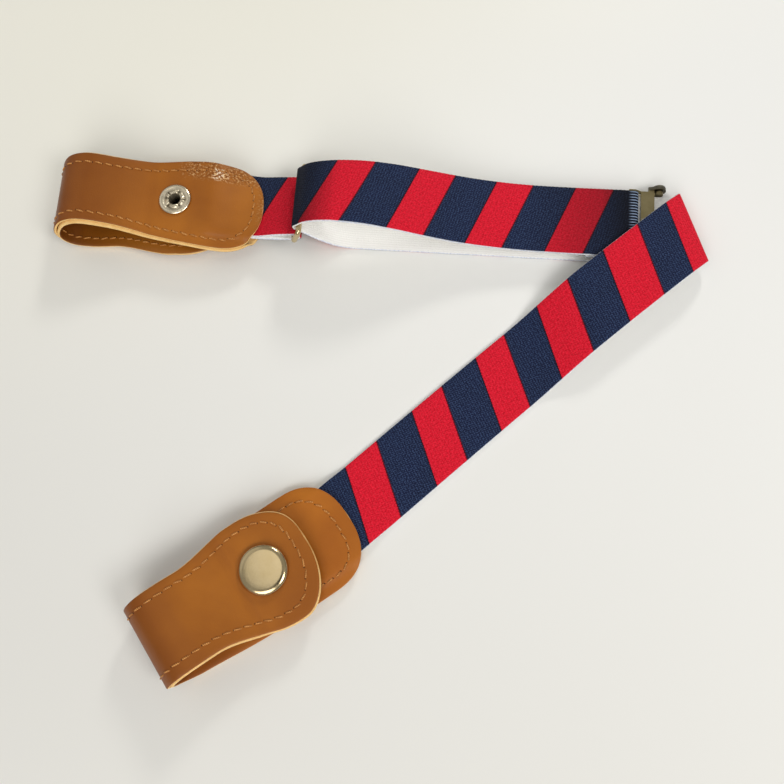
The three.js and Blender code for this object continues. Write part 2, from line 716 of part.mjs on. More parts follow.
const rowsA = tabRows(TAB_A, TAB_A_SIDE, ARMS.tab_a, {
  turnedOver: false,
  bowReach: 0,
  flapBow: 0.3,
  flapSlant: -0.085,
  fixedBow: -1.6,
  fixedSlant: 0.0,
});
const rowsB = tabRows(TAB_B, TAB_B_SIDE, ARMS.tab_b, {
  turnedOver: true,
  bowReach: 25,
  flapBow: -1.2,
  flapSlant: -0.02,
  fixedBow: 1.5,
  fixedSlant: -0.065,
});
const fixedRowsB = rowsB.filter((row) => !row.onFlap);
const tabMiddleB = (along) => {
  const next = fixedRowsB.findIndex((row) => row.middle.x >= along);
  const [a, b] = [fixedRowsB[next - 1], fixedRowsB[next]];
  const share = (along - a.middle.x) / (b.middle.x - a.middle.x);
  const middle = a.middle.clone().lerp(b.middle, share);
  const roll = THREE.MathUtils.lerp(a.roll, b.roll, share);
  const beside = axisPoint(along, 0).y - middle.y;
  return { z: middle.z - beside * Math.sin(radians(roll)), roll };
};
addMesh("short_strap", shortStrap(tabMiddleB), webbing);
const spreadA = WEB_THICK / 2 + CLEAR + 0.1;
const spreadB = SHORT_STRAP_SPREAD + WEB_THICK / 2 + CLEAR + 0.25;
addMesh("tab_a_outer_leather", leatherLayer(TAB_A, rowsA, false, spreadA), leather);
addMesh("tab_a_inner_leather", leatherLayer(TAB_A, rowsA, true, spreadA), leatherInside);
addMesh("tab_b_outer_leather", leatherLayer(TAB_B, rowsB, false, spreadB), leather);
addMesh("tab_b_inner_leather", leatherLayer(TAB_B, rowsB, true, spreadB), leatherInside);
snapParts(belt, TAB_A, "tab_a", 2.25, false);
snapParts(belt, TAB_B, "tab_b", 9.5, true);

const adjuster = new THREE.Group();
adjuster.position.copy(axisPoint(LOOP_BAR.along, 0));
adjuster.rotation.z = radians(RETURN_HEADING - 180);
addMesh("adjuster_base", adjusterBase(), darkNickel, adjuster);
addMesh("adjuster_lever", adjusterLever(), darkNickel, adjuster);
belt.add(adjuster);

belt.position.set(-CENTRE.x, -CENTRE.y, 0);

export default belt;
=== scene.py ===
# %% [markdown]
# # A child's elastic belt with snap-closed leather ends
# The belt has no buckle. Two leather tabs snap round a trouser's belt loops, and striped
# elastic webbing runs between them through a wire ring and a small clamp adjuster.
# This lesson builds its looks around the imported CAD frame, which stays where it is.

# %% Load the frame
import math

import bmesh
import bpy
import numpy as np
from mathutils import Matrix, Vector


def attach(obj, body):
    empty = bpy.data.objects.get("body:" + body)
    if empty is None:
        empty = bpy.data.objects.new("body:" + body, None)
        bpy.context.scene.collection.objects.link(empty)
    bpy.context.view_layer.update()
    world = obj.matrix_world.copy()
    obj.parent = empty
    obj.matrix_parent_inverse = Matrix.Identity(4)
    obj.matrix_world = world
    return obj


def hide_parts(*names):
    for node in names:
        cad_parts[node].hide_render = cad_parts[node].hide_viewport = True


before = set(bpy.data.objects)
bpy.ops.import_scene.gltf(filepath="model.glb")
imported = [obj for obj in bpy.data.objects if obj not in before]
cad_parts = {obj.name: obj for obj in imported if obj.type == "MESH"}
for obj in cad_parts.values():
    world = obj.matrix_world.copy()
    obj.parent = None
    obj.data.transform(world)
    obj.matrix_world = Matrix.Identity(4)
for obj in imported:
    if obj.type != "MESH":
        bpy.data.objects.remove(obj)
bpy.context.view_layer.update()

# %% [markdown]
# ## Shader arithmetic
# A material here is mostly arithmetic on a few coordinates: how far along the strap, how far
# across it. It could be wired by hand, node by node. Wrapping a node's output in a small class
# lets the formulas be written as Python expressions, which are easier to read and change.


# %% A node output that can be added, subtracted and multiplied
class Signal:
    """One output of a shader node."""

    def __init__(self, shader, socket):
        self.shader = shader
        self.socket = socket

    def __add__(self, other):
        return self.shader.maths("ADD", self, other)

    def __mul__(self, other):
        return self.shader.maths("MULTIPLY", self, other)

    def __sub__(self, other):
        return self.shader.maths("SUBTRACT", self, other)

    def __rsub__(self, other):
        return self.shader.maths("SUBTRACT", other, self)

    __radd__ = __add__
    __rmul__ = __mul__


class Shader:
    """A node material, or the world's nodes, filled in step by step."""

    def __init__(self, name, tree=None):
        if tree is None:
            self.material = bpy.data.materials.new(name)
            self.material.use_nodes = True
            tree = self.material.node_tree
        self.tree = tree
        self.tree.nodes.clear()

    def node(self, kind, settings=None, values=None, output=0):
        made = self.tree.nodes.new(kind)
        for key, value in (settings or {}).items():
            setattr(made, key, value)
        for key, value in (values or {}).items():
            self.put(made.inputs[key], value)
        return Signal(self, made.outputs[output])

    def put(self, socket, value):
        if isinstance(value, Signal):
            self.tree.links.new(value.socket, socket)
        elif isinstance(value, tuple) and len(value) == 3 and socket.type == "RGBA":
            socket.default_value = (*value, 1.0)
        else:
            socket.default_value = value

    def maths(self, operation, *numbers):
        return self.node("ShaderNodeMath", {"operation": operation}, dict(enumerate(numbers)))

    def vector(self, operation, *vectors):
        return self.node("ShaderNodeVectorMath", {"operation": operation}, dict(enumerate(vectors)))

    def mix(self, share, first, second):
        made = self.tree.nodes.new("ShaderNodeMix")
        made.data_type = "RGBA"
        ports = {socket.identifier: socket for socket in made.inputs}
        self.put(ports["Factor_Float"], share)
        self.put(ports["A_Color"], first)
        self.put(ports["B_Color"], second)
        return Signal(self, next(s for s in made.outputs if s.identifier == "Result_Color"))

    def step(self, value, low, high):
        """0 below low, 1 above high, smooth between them."""
        values = {"Value": value, "From Min": low, "From Max": high}
        return self.node("ShaderNodeMapRange", {"interpolation_type": "SMOOTHSTEP"}, values)

    def wave(self, value, period):
        """A sine between 0 and 1 with this period."""
        return self.maths("SINE", value * (2 * math.pi / period)) * 0.5 + 0.5

    def place(self):
        return self.node("ShaderNodeTexCoord", output="Object")

    def dot(self, first, second):
        """How far along a direction, as a number."""
        values = {0: first, 1: second}
        return self.node("ShaderNodeVectorMath", {"operation": "DOT_PRODUCT"}, values, output=1)

    def stretch(self, vector, scale):
        return self.vector("MULTIPLY", vector, scale)

    def noise(self, vector, scale, detail=2.0, roughness=0.5):
        values = {"Vector": vector, "Scale": scale, "Detail": detail, "Roughness": roughness}
        return self.node("ShaderNodeTexNoise", None, values)

    def cells(self, vector, scale):
        return self.node("ShaderNodeTexVoronoi", None, {"Vector": vector, "Scale": scale})

    def read(self, attribute):
        return self.node("ShaderNodeAttribute", {"attribute_name": attribute}, output="Fac")

    def along_across(self):
        """Millimetres along and across a strip, as laid down when its mesh was made."""
        layer = self.node("ShaderNodeUVMap", {"uv_map": "strip"})
        split = self.tree.nodes.new("ShaderNodeSeparateXYZ")
        self.put(split.inputs[0], layer)
        return Signal(self, split.outputs[0]), Signal(self, split.outputs[1]), layer

    def finish(self, height=None, depth=0.0002, **values):
        """The surface. Height in units of depth, in metres, becomes its bump."""
        surface = self.tree.nodes.new("ShaderNodeBsdfPrincipled")
        for key, value in values.items():
            self.put(surface.inputs[key.replace("_", " ")], value)
        if height is not None:
            bump = {"Strength": 1.0, "Distance": depth, "Height": height}
            self.put(surface.inputs["Normal"], self.node("ShaderNodeBump", None, bump))
        output = self.tree.nodes.new("ShaderNodeOutputMaterial")
        self.tree.links.new(surface.outputs[0], output.inputs[0])
        return self.material


def colour(red, green, blue):
    """A colour as seen on a screen, 0 to 255, in the renderer's linear light."""

    def linear(value):
        value = value / 255
        return value / 12.92 if value <= 0.04045 else ((value + 0.055) / 1.055) ** 2.4

    return (linear(red), linear(green), linear(blue))


# %% [markdown]
# ## Curves and strips
# Webbing and leather are both flat strips that only bend; they never stretch sideways. A cloth
# simulation could drape them, but wouldn't land where the real ones lie. So each one is
# described by rows: straight lines across the strip, each with a middle point, a direction and
# a half width. Everything is in millimetres until the mesh is made.


# %% Row helpers
UP = np.array([0.0, 0.0, 1.0])
SHIFT = np.array([5.4, 4.4, 0.0])
MM = 0.001


def heading(degrees):
    angle = math.radians(degrees)
    return np.array([math.cos(angle), math.sin(angle), 0.0])


def tipped(level, degrees):
    """A level direction, turned down by this angle."""
    angle = math.radians(degrees)
    return level * math.cos(angle) - UP * math.sin(angle)


def smoothstep(value, low, high):
    share = np.clip((value - low) / (high - low), 0, 1)
    return share * share * (3 - 2 * share)


def unit(vectors):
    """The same directions, each of length 1."""
    return vectors / np.linalg.norm(vectors, axis=-1, keepdims=True)


def distances(points):
    """How far along a polyline each of its points is."""
    steps = np.linalg.norm(np.diff(points, axis=0), axis=1)
    return np.concatenate([[0], np.cumsum(steps)])


def read_off(places, distance, values):
    """Values that belong to a polyline's points, read at other places along it."""
    if values.ndim == 1:
        return np.interp(places, distance, values)
    return np.stack([np.interp(places, distance, column) for column in values.T], axis=-1)


def spaced(points, count):
    """Points at even distances along a polyline."""
    distance = distances(points)
    return read_off(np.linspace(0, distance[-1], count + 1), distance, points)


def smooth_line(stations, count):
    """A smooth line through stations (centripetal Catmull-Rom), at even distances."""
    stations = np.array(stations, float)
    first = 2 * stations[0] - stations[1]
    last = 2 * stations[-1] - stations[-2]
    knots = np.vstack([first, stations, last])
    pieces = []
    for before, start, end, after in zip(knots, knots[1:], knots[2:], knots[3:]):
        legs = ((before, start), (start, end), (end, after))
        d0, d1, d2 = (np.sum((b - a) ** 2) ** 0.25 for a, b in legs)
        leave = ((start - before) / d0 - (end - before) / (d0 + d1) + (end - start) / d1) * d1
        arrive = ((end - start) / d1 - (after - start) / (d1 + d2) + (after - end) / d2) * d1
        u = np.linspace(0, 1, 60, endpoint=False)[:, None]
        square = -3 * start + 3 * end - 2 * leave - arrive
        cube = 2 * start - 2 * end + leave + arrive
        pieces.append(start + leave * u + square * u**2 + cube * u**3)
    return spaced(np.vstack([*pieces, stations[-1:]]), count)


def side_arc(centre, radius, start, turn, count, roll):
    angles = np.radians(start + turn * np.linspace(0, 1, count + 1))
    along = centre[0] + radius * np.cos(angles)
    height = centre[1] + radius * np.sin(angles)
    return np.stack([along, np.full(count + 1, roll), height], axis=1)


# %% A strip from rows
def bending(strip):
    """How sharply each row of a strip is bent, in radians per millimetre."""
    return np.linalg.norm(np.gradient(strip["normal"], strip["along"], axis=0), axis=1)


def lay_out(rows, pitch):
    """Evenly spaced rows with their normals, and distances along the strip."""
    columns = [np.array([row[k] for row in rows], float) for k in range(3)]
    distance = distances(columns[0])
    along = np.linspace(0, distance[-1], int(round(distance[-1] / pitch)) + 1)
    middle, across, half = (read_off(along, distance, column) for column in columns)
    across = unit(across)
    tangent = np.gradient(middle, axis=0)
    normal = unit(np.cross(tangent, across))
    lean = np.sum(across * unit(tangent), axis=1)
    return dict(middle=middle, across=across, half=half, normal=normal, lean=lean, along=along)


def make_mesh(name, points, faces, material):
    """A mesh from points in millimetres, its faces turned outward."""
    mesh = bpy.data.meshes.new(name)
    mesh.from_pydata((points * MM).tolist(), [], faces)
    shell = bmesh.new()
    shell.from_mesh(mesh)
    bmesh.ops.recalc_face_normals(shell, faces=shell.faces)
    shell.to_mesh(mesh)
    shell.free()
    made = bpy.data.objects.new(name, mesh)
    bpy.context.scene.collection.objects.link(made)
    mesh.materials.append(material)
    mesh.shade_smooth()
    return made


def write_uv(made, pairs):
    layer = made.data.uv_layers.new(name="strip")
    corner = np.zeros(len(made.data.loops), dtype=np.int32)
    made.data.loops.foreach_get("vertex_index", corner)
    layer.data.foreach_set("uv", pairs[corner].ravel())


def write_attribute(made, name, values):
    layer = made.data.attributes.new(name, "FLOAT", "POINT")
    layer.data.foreach_set("value", np.asarray(values, dtype=np.float32))


def circle(count):
    """Even angles round a circle, as a column."""
    return np.linspace(0, 2 * math.pi, count, endpoint=False)[:, None]


def tube_faces(count, sides, closed=False):
    """Quads between loops of points. A tube that isn't closed on itself gets both ends filled."""
    faces = []
    for i in range(count if closed else count - 1):
        here, there = i * sides, (i + 1) % count * sides
        for j in range(sides):
            k = (j + 1) % sides
            faces.append((here + j, there + j, there + k, here + k))
    if not closed:
        faces.append(tuple(range(sides)))
        faces.append(tuple((count - 1) * sides + j for j in reversed(range(sides))))
    return faces


def strip_mesh(name, strip, across, off, material):
    """A closed strip, from the distances across and off the middle that each row's points have."""
    count, sides = across.shape
    middle, outward, upward = (strip[key][:, None] for key in ("middle", "across", "normal"))
    points = middle + outward * across[..., None] + upward * off[..., None]
    made = make_mesh(name, points.reshape(-1, 3) + SHIFT, tube_faces(count, sides), material)
    lean = strip["lean"][:, None]
    along = strip["along"][:, None] + across * lean
    sideways = across * np.sqrt(1 - lean**2)
    write_uv(made, np.stack([along.ravel(), sideways.ravel()], axis=1))
    return made, along.ravel(), sideways.ravel(), off.ravel()


# %% [markdown]
# ## How the straps lie
# The long strap leaves the lower tab, crosses the table, climbs over the adjuster, folds flat
# under itself, goes back through the adjuster and along the table to the wire ring. There it
# turns round the top bar and comes back above itself as a hump, to be sewn round the
# adjuster's loop bar. These sizes are the same as the CAD part's own.

# %% Sizes of the webbing
WEB_HALF = 12.5
WEB_THICK = 1.2
WIRE_RADIUS = 1.0
CLEAR = 0.3
ON_TABLE = 0.62
IN_TAB_A = 2.1
IN_ADJUSTER = 2.0
OVER_STACK = 7.7
STRAP_EXIT = np.array([-16.5, -42.8, 0.0])
STRAP_HEADING = 40.4
STRAP_HIDDEN = 15.0
FOLD_POINT = np.array([102.3, 55.74, 0.0])
FOLD_LINE = 106.35
FOLD_SKEW = 21.05
FOLD_SLIP = 1.1
FOLD_START = -9.86
FOLD_STRETCHES = {
    "over the stack": (3.0, 0),
    "tips down": (5.0, -22),
    "slopes down": (2.9, 0),
    "turns over the edge": (2.62, -79),
    "turns under": (2.62, -79),
}
RETURN_HEADING = 175.3
RING_TOP = (-30.8, 12.5)
RING_LOW = (-33.5, 5.5)
RING_ROLL = 11
RING_YAW = 3.2
LOOP_BAR = (83.8, 4.75)
TAIL_DROP = 2.5
WRAP = WIRE_RADIUS + CLEAR + WEB_THICK / 2

# Each row: distance along the belt's long axis, roll in degrees, height
LOWER_RUN = [
    (82.0, 0, IN_ADJUSTER), (78.0, 0, 1.7), (72.0, 0, 0.9), (67.0, 0, ON_TABLE),
    (20.0, 0, ON_TABLE), (-12.0, 0, ON_TABLE), (-18.0, 1.5, 1.5), (-24.0, 6, 4.4),
    (-29.0, 10, 8.2),
]
UPPER_RUN = [
    (-28.5, 11, 17.0), (-21.0, 10, 19.3), (-10.0, 7, 19.4), (1.0, 4, 17.2),
    (12.0, 1.5, 13.7), (23.5, 0, 10.2), (35.0, 0, 7.8), (47.0, 0, 6.4), (58.0, 0, 6.0),
    (75.0, 0, 6.0),
]
TAIL_RUN = [(81.5, 0, 3.5), (78.5, 0, 3.85), (75.0, 0, 4.35), (68.0, 0, 4.4)]

axis_direction = -heading(RETURN_HEADING)
axis_across = heading(RETURN_HEADING - 90)


def axis_point(along, height):
    travel = (along - FOLD_POINT[0]) / axis_direction[0]
    return FOLD_POINT + axis_direction * travel + UP * height


def rolled_across(roll):
    return tipped(heading(RETURN_HEADING - 90 + RING_YAW * roll / RING_ROLL), roll)


def axis_row(station):
    along, roll, height = station
    lowest = ON_TABLE + WEB_HALF * math.sin(math.radians(abs(roll)))
    return axis_point(along, max(height, lowest)), rolled_across(roll), WEB_HALF


# %% The first run, up to and round the fold
# How stiffly the strap keeps its direction where it leaves the tab and where it meets the fold
PULL_OUT = 0.55
PULL_IN = 0.25
# It comes down on the table between these distances from the tab, and climbs between these
# distances from the fold
COMES_DOWN = (2, 13)
CLIMBS = (-70, -40)
# The share of the way over which the fold's skew sets in
SKEW_SETS_IN = (0.12, 0.45)
RUN_STEPS = 260
FOLD_STEP = 0.2

crease = heading(FOLD_LINE)
square = heading(FOLD_LINE - 90)
drift = math.tan(math.radians(FOLD_SKEW))
fold_length = sum(length for length, turn in FOLD_STRETCHES.values())
entry = FOLD_POINT + square * FOLD_START + crease * (FOLD_SLIP - drift * fold_length)
travel = heading(STRAP_HEADING)
span = np.linalg.norm(entry - STRAP_EXIT)
leave = STRAP_EXIT + travel * PULL_OUT * span
arrive = entry - heading(FOLD_LINE - 90 + FOLD_SKEW) * PULL_IN * span
u = np.linspace(0, 1, 1500)[:, None]
curve = STRAP_EXIT * (1 - u) ** 3 + leave * 3 * u * (1 - u) ** 2
plan = spaced(curve + arrive * 3 * u**2 * (1 - u) + entry * u**3, RUN_STEPS)


def height(point):
    from_exit = np.dot(point - STRAP_EXIT, travel)
    to_fold = np.dot(point - FOLD_POINT, square)
    low = IN_TAB_A + (ON_TABLE - IN_TAB_A) * smoothstep(from_exit, *COMES_DOWN)
    return low + (OVER_STACK - low) * smoothstep(to_fold, *CLIMBS)


def row(point, direction, skew):
    across = np.array([-direction[1], direction[0], 0]) + direction * math.tan(math.radians(skew))
    left = point + across * WEB_HALF
    right = point - across * WEB_HALF
    left[2] = height(left)
    right[2] = height(right)
    return (left + right) / 2, unit(left - right), np.linalg.norm(left - right) / 2


hidden = np.linspace(STRAP_HIDDEN, 0.5, 20)
rows = [row(STRAP_EXIT - travel * back, travel, 0) for back in hidden]
for i in range(1, RUN_STEPS):
    skew = FOLD_SKEW * smoothstep(i / RUN_STEPS, *SKEW_SETS_IN)
    rows.append(row(plan[i], unit(plan[i + 1] - plan[i - 1]), skew))

point = entry + UP * OVER_STACK
slope = 0.0
half = WEB_HALF / math.cos(math.radians(FOLD_SKEW))
rows.append((point, crease, half))
for name, (length, turn) in FOLD_STRETCHES.items():
    steps = int(length / FOLD_STEP)
    slip = FOLD_SLIP / length if name == "turns under" else 0.0
    bend = math.radians(turn) / steps
    for _ in range(steps):
        middle = slope + bend / 2
        forward = square * math.cos(middle) + UP * math.sin(middle)
        point = point + (length / steps) * (forward + crease * (drift - slip))
        slope += bend
        rows.append((point, crease, half))
first_run = rows
print("up to the fold's end:", len(first_run), "rows")

# %% The second run, back to the ring and over the hump
INTO_ADJUSTER = 84.5
WRAP_START, WRAP_TURN = 232, -112

start = first_run[-1][0][0]
second_run = []
for share in np.linspace(0.04, 1, 30):
    along = start + (INTO_ADJUSTER - start) * share
    lean = math.tan(math.radians(FOLD_SKEW * (1 - share)))
    across = axis_across - axis_direction * lean
    half = WEB_HALF * np.linalg.norm(across)
    second_run.append((axis_point(along, IN_ADJUSTER), unit(across), half))
round_ring = side_arc(RING_TOP, WRAP, WRAP_START, WRAP_TURN, 30, RING_ROLL)
round_bar = side_arc(LOOP_BAR, TAIL_DROP / 2, 90, -180, 40, 0)
lower = smooth_line([*LOWER_RUN, round_ring[0]], 260)[:-1]
upper = smooth_line([round_ring[-1], *UPPER_RUN, round_bar[0]], 300)[1:-1]
tail = smooth_line([round_bar[-1], *TAIL_RUN], 40)[1:]
stations = np.vstack([lower, round_ring, upper, round_bar, tail])
second_run += [axis_row(station) for station in stations]

ROW_PITCH = 0.36
long_strap_rows = lay_out(first_run + second_run, ROW_PITCH)
strap_places = long_strap_rows["along"]
print("long strap:", round(strap_places[-1], 1), "mm in", len(strap_places), "rows")

# %% [markdown]
# ## How the leather tabs lie
# Each tab is one leather strip, folded back on itself and snapped shut. Sculpting the loop
# would lose the leather's even thickness. Seen from the side, the strip is a table of stations
# from the flap's end, round the bend, to the end that holds the strap, and rows follow it.

# %% Side views and outlines of the tabs
LAYER_THICK = 1.1
LAYER_GAP = 0.3
LEATHER_THICK = 2 * LAYER_THICK + LAYER_GAP
LAYER_STEP = 0.4
SNAP_AT = 43.5
LOBE_POWER = 2.5

TAB_A = {
    "corner": np.array([-76.05, -83.55, 0.0]),
    "heading": 33.8,
    "turned_over": False,
    "snap_height": 2.25,
    "waist": 14.3,
    "waist_step": 0.4,
    "bow_reach": 0,
    "flap": {
        "half": 18.3, "flare": (20, 40), "lobe": 43.5, "end": 59.7, "bow": 0.3, "slant": -0.085,
        "bulge": 0.65, "tip": 3.0,
    },
    "fixed": {
        "half": 17.9, "flare": (12, 50), "lobe": 58.0, "end": 74.6, "bow": -1.6, "slant": 0.0,
    },
    "spread": WEB_THICK / 2 + CLEAR + 0.1,
    "strap_beside": 0.0,
    "side": [
        (59.7, 0, 8.5), (51.5, 0, 8.15), (43.5, 0, 8.15), (37.5, 0, 8.15), (33.5, 0, 8.6),
        (23.0, 0, 12.6), (13.0, 0, 15.4), (6.0, 0, 14.9), (1.4, 0, 9.0), (4.6, 0, 2.9),
        (11.0, 0, 1.35), (22.0, 0, 1.7), (34.0, 0, 2.25), (43.5, 0, 2.25), (53.0, 0, 2.2),
        (60.0, 0, 2.1), (74.6, 0, 2.1),
    ],
}
TAB_B = {
    "corner": np.array([-119.6, 70.6, 0.0]),
    "heading": -3.0,
    "turned_over": True,
    "snap_height": 9.5,
    "waist": 13.6,
    "waist_step": 0.9,
    "bow_reach": 25,
    "flap": {
        "half": 17.8, "flare": (20, 42), "lobe": 43.5, "end": 61.0, "bow": -1.2, "slant": -0.02,
    },
    "fixed": {
        "half": 16.6, "flare": (20, 58), "lobe": 58.0, "end": 74.2, "bow": 1.5, "slant": -0.065,
    },
    "spread": 0.78 + WEB_THICK / 2 + CLEAR + 0.25,
    "strap_beside": -2.2,
    "side": [
        (61.0, 0, 1.6), (56.5, 0, 2.4), (51.5, 0, 3.55), (43.5, 0, 3.65), (37.0, 0, 3.65),
        (32.5, 0, 3.35), (22.0, 0, 1.9), (11.0, 0, 1.35), (4.9, 0, 3.2), (2.2, 0, 9.0),
        (5.5, 0, 14.6), (12.0, 0, 16.1), (22.0, 0, 13.7), (34.0, 0, 9.95), (38.0, 0, 9.55),
        (43.5, 0, 9.5), (49.5, 0.3, 9.4), (57.0, 2.5, 7.8), (63.0, 5, 6.2), (69.0, 7, 5.2),
        (74.2, 8, 4.8),
    ],
}


def lobe_share(at, arm):
    return max(0.0, (at - arm["lobe"]) / (arm["end"] - arm["lobe"]))


def beside_snap(at):
    return smoothstep(at, 34, 44) - smoothstep(at, 48, 58)


def arm_half_width(at, arm, waist):
    body = waist + (arm["half"] - waist) * smoothstep(at, *arm["flare"])
    body += arm.get("bulge", 0) * beside_snap(at)
    return max(body * max(0.0, 1 - lobe_share(at, arm) ** LOBE_POWER) ** (1 / LOBE_POWER), 0.35)


# The share of the strip over which it changes from the flap's bow to the fixed arm's
BEND_SHARE = (0.42, 0.54)
# Where the layers part to take the strap between them
STRAP_PARTS = (48.5, 56.5)
TAB_COLUMNS = ("middle", "across", "half", "step", "at", "fixed", "roll")


def lay_out_tab(tab, steps=900):
    """Rows of a tab, closer together where a lobe's end rounds off."""
    line = smooth_line(tab["side"], steps)
    direction = heading(tab["heading"])
    left = heading(tab["heading"] + 90)
    turning = int(np.argmin(line[:, 0]))
    flap, fixed, reach = tab["flap"], tab["fixed"], tab["bow_reach"]
    rows = []
    for i, (at, roll, height) in enumerate(line):
        arm = flap if i < turning else fixed
        if at < SNAP_AT:
            bow = flap["bow"] + (fixed["bow"] - flap["bow"]) * smoothstep(i / steps, *BEND_SHARE)
            sideways = bow * math.sin(math.pi * (at + reach) / (SNAP_AT + reach))
        else:
            sideways = arm["slant"] * (at - SNAP_AT) + arm.get("tip", 0) * lobe_share(at, arm) ** 4
        sideways -= arm.get("bulge", 0) * beside_snap(at)
        middle = tab["corner"] + direction * at + left * sideways + UP * height
        across = tipped(left, roll) * (-1 if tab["turned_over"] else 1)
        half = arm_half_width(at, arm, tab["waist"])
        step = tab["waist_step"] + (LAYER_STEP - tab["waist_step"]) * smoothstep(at, *arm["flare"])
        rows.append((middle, across, half, step, at, i >= turning, roll))
    rows = {key: np.array(column, float) for key, column in zip(TAB_COLUMNS, zip(*rows))}
    rows["along"] = distances(rows["middle"])
    rows["normal"] = unit(np.cross(np.gradient(rows["middle"], axis=0), rows["across"]))
    rows["lean"] = np.zeros(len(line))
    parted = smoothstep(rows["at"], *STRAP_PARTS) * rows["fixed"]
    rows["near"] = LAYER_GAP / 2 + (tab["spread"] - LAYER_GAP / 2) * parted
    return rows


def thin_rows(rows, pitch):
    """Fewer rows where the outline is straight, all of them where it turns."""
    bend = np.abs(np.gradient(rows["half"], rows["along"]))
    want = pitch / (1 + 6 * np.clip(bend, 0, 3))
    kept = [0]
    for i in range(1, len(bend)):
        if rows["along"][i] - rows["along"][kept[-1]] >= want[i] or i == len(bend) - 1:
            kept.append(i)
    return {key: values[kept] for key, values in rows.items()}


tab_a_rows = lay_out_tab(TAB_A)
tab_b_rows = lay_out_tab(TAB_B)
for name, rows in (("A", tab_a_rows), ("B", tab_b_rows)):
    print("tab", name, "is", round(rows["along"][-1], 1), "mm of leather")

# %% [markdown]
# The short strap is a doubled length of the same webbing. Its ends are held between the
# layers of the upper tab. Heights typed in by hand would have to change with every change of
# the tab, so they are read from that tab's own middle surface.


# %% The short strap's rows
SHORT_STRAP_SPREAD = 0.78
SHORT_STRAP_SIDE = -0.4
# Where the two runs are between the tab and the ring: distance, roll, height
ABOVE_RING, BELOW_RING = (-40.2, 10, 6.5), (-40.2, 10, 3.25)

fixed = tab_b_rows["fixed"] > 0.5
place = tab_b_rows["middle"][fixed]
place_roll = tab_b_rows["roll"][fixed]


def in_tab(along, side):
    _, beside, height = read_off(along, place[:, 0], place)
    roll = np.interp(along, place[:, 0], place_roll)
    height -= (axis_point(along, 0)[1] - beside) * math.sin(math.radians(roll))
    return along, roll, height + side * SHORT_STRAP_SPREAD


hidden = (-60.0, -56.0, -52.0, -47.0)
round_ring = side_arc(RING_LOW, WRAP, 95, -190, 30, RING_ROLL)
upper = smooth_line([*(in_tab(a, 1) for a in hidden), ABOVE_RING, round_ring[0]], 90)[:-1]
back = [in_tab(a, -1) for a in reversed(hidden)]
lower = smooth_line([round_ring[-1], BELOW_RING, *back], 90)[1:]
rows = [axis_row(station) for station in np.vstack([upper, round_ring, lower])]
rows = [(middle + across * SHORT_STRAP_SIDE, across, half) for middle, across, half in rows]
short_strap_laid = lay_out(rows, ROW_PITCH)
print("short strap:", round(short_strap_laid["along"][-1], 1), "mm")

# %% [markdown]
# ## The webbing's look
# Elastic webbing is woven of fine ribs. Its face carries red and navy bands that slant across
# it, with a dark line where the colours meet, and its back is undyed white. A colour for each
# face would give ragged bands, so they are worked out from the distance along and across the
# strap, and bend with it. Elastic is stretched unevenly, so the places where red bands begin
# are listed as they are on the belt, and the hidden ones between them are spread evenly.

# %% Webbing material
STRIPE_SLANT = 0.41
RED_SHARE = 0.47
DYE_BLEND = 0.008
# The undyed threads of the selvedge start between these distances from the middle
SELVEDGE = (12.28, 12.42)
# Each row: millimetres along the strap where a red band begins, and the number of that band
LONG_STRAP_BANDS = [
    (-36.0, -2), (21.7, 0), (50.8, 1), (79.2, 2), (106.6, 3), (136.0, 4), (151.5, 4.47),
    (164.2, 5), (294.5, 10), (327.5, 11), (356.3, 12), (384.2, 13), (412.0, 14),
    (468.0, 16),
]
SHORT_STRAP_BANDS = [(-11.7, -1), (16.9, 0), (86.9, 2)]
# Each row: millimetres along the long strap, and how much painted shade darkens it there,
# where it turns over the ring and dips to the loop bar
PAINTED_SHADE_ALONG = [
    (304, 0), (314, 0.8), (324, 0.6), (334, 0), (400, 0), (414, 0.33), (426, 0.5), (434, 0.86),
    (440, 0.88),
]
s = Shader("webbing")
along, across, layer = s.along_across()
face = s.read("face")
jag = (s.wave(across, 0.9) - 0.5) * 0.006
band = s.maths("FRACT", s.read("phase") + jag)
into_red = s.step(band, 0.0, DYE_BLEND) - s.step(band, RED_SHARE, RED_SHARE + DYE_BLEND)
from_start = s.maths("PINGPONG", band, 0.5)
from_end = s.maths("ABSOLUTE", band - RED_SHARE)
seam = s.step(s.maths("MINIMUM", from_start, from_end), 0.013, 0.004)

rib = s.wave(across + along * 0.35, 0.7)
weft = s.wave(along - across * 0.25, 0.9)
thread = rib * weft
speck = s.noise(s.stretch(layer, (1.2, 1.5, 1.0)), 1.0, 2.0, 0.7)
fine = s.noise(s.stretch(layer, (1.7, 2.6, 1.0)), 1.0, 1.0, 0.6)
broad = s.noise(s.stretch(layer, (0.08, 0.12, 1.0)), 1.0, 2.0)

# Flecks of lighter yarn, partly painted highlights on the threads' tops
flecks_and_glints = s.step(fine * 0.85 + thread * 0.22, 0.4, 0.66)
red = s.mix(s.step(speck, 0.3, 0.7), colour(190, 4, 30), colour(232, 22, 50))
red = s.mix(flecks_and_glints * 0.3, red, colour(248, 64, 82))
navy = s.mix(broad, colour(12, 18, 42), colour(22, 31, 63))
navy = s.mix(flecks_and_glints * 0.55, navy, colour(66, 88, 128))
dyed = s.mix(into_red, navy, red)
dyed = s.mix(seam * 0.85, dyed, colour(8, 8, 20))
# Painted shade where the long strap turns over the ring and dips to the bar, and on the short strap
dyed = s.mix(s.read("painted_shade"), dyed, colour(4, 4, 10))
# Painted glints: light blue lines on the ribs where they part over the loop bar
open_rib_and_glint = s.step(s.wave(across, 1.05), 0.55, 0.9) * s.step(s.read("strain"), 0.08, 0.4)
dyed = s.mix(open_rib_and_glint * 0.8, dyed, colour(150, 170, 200))

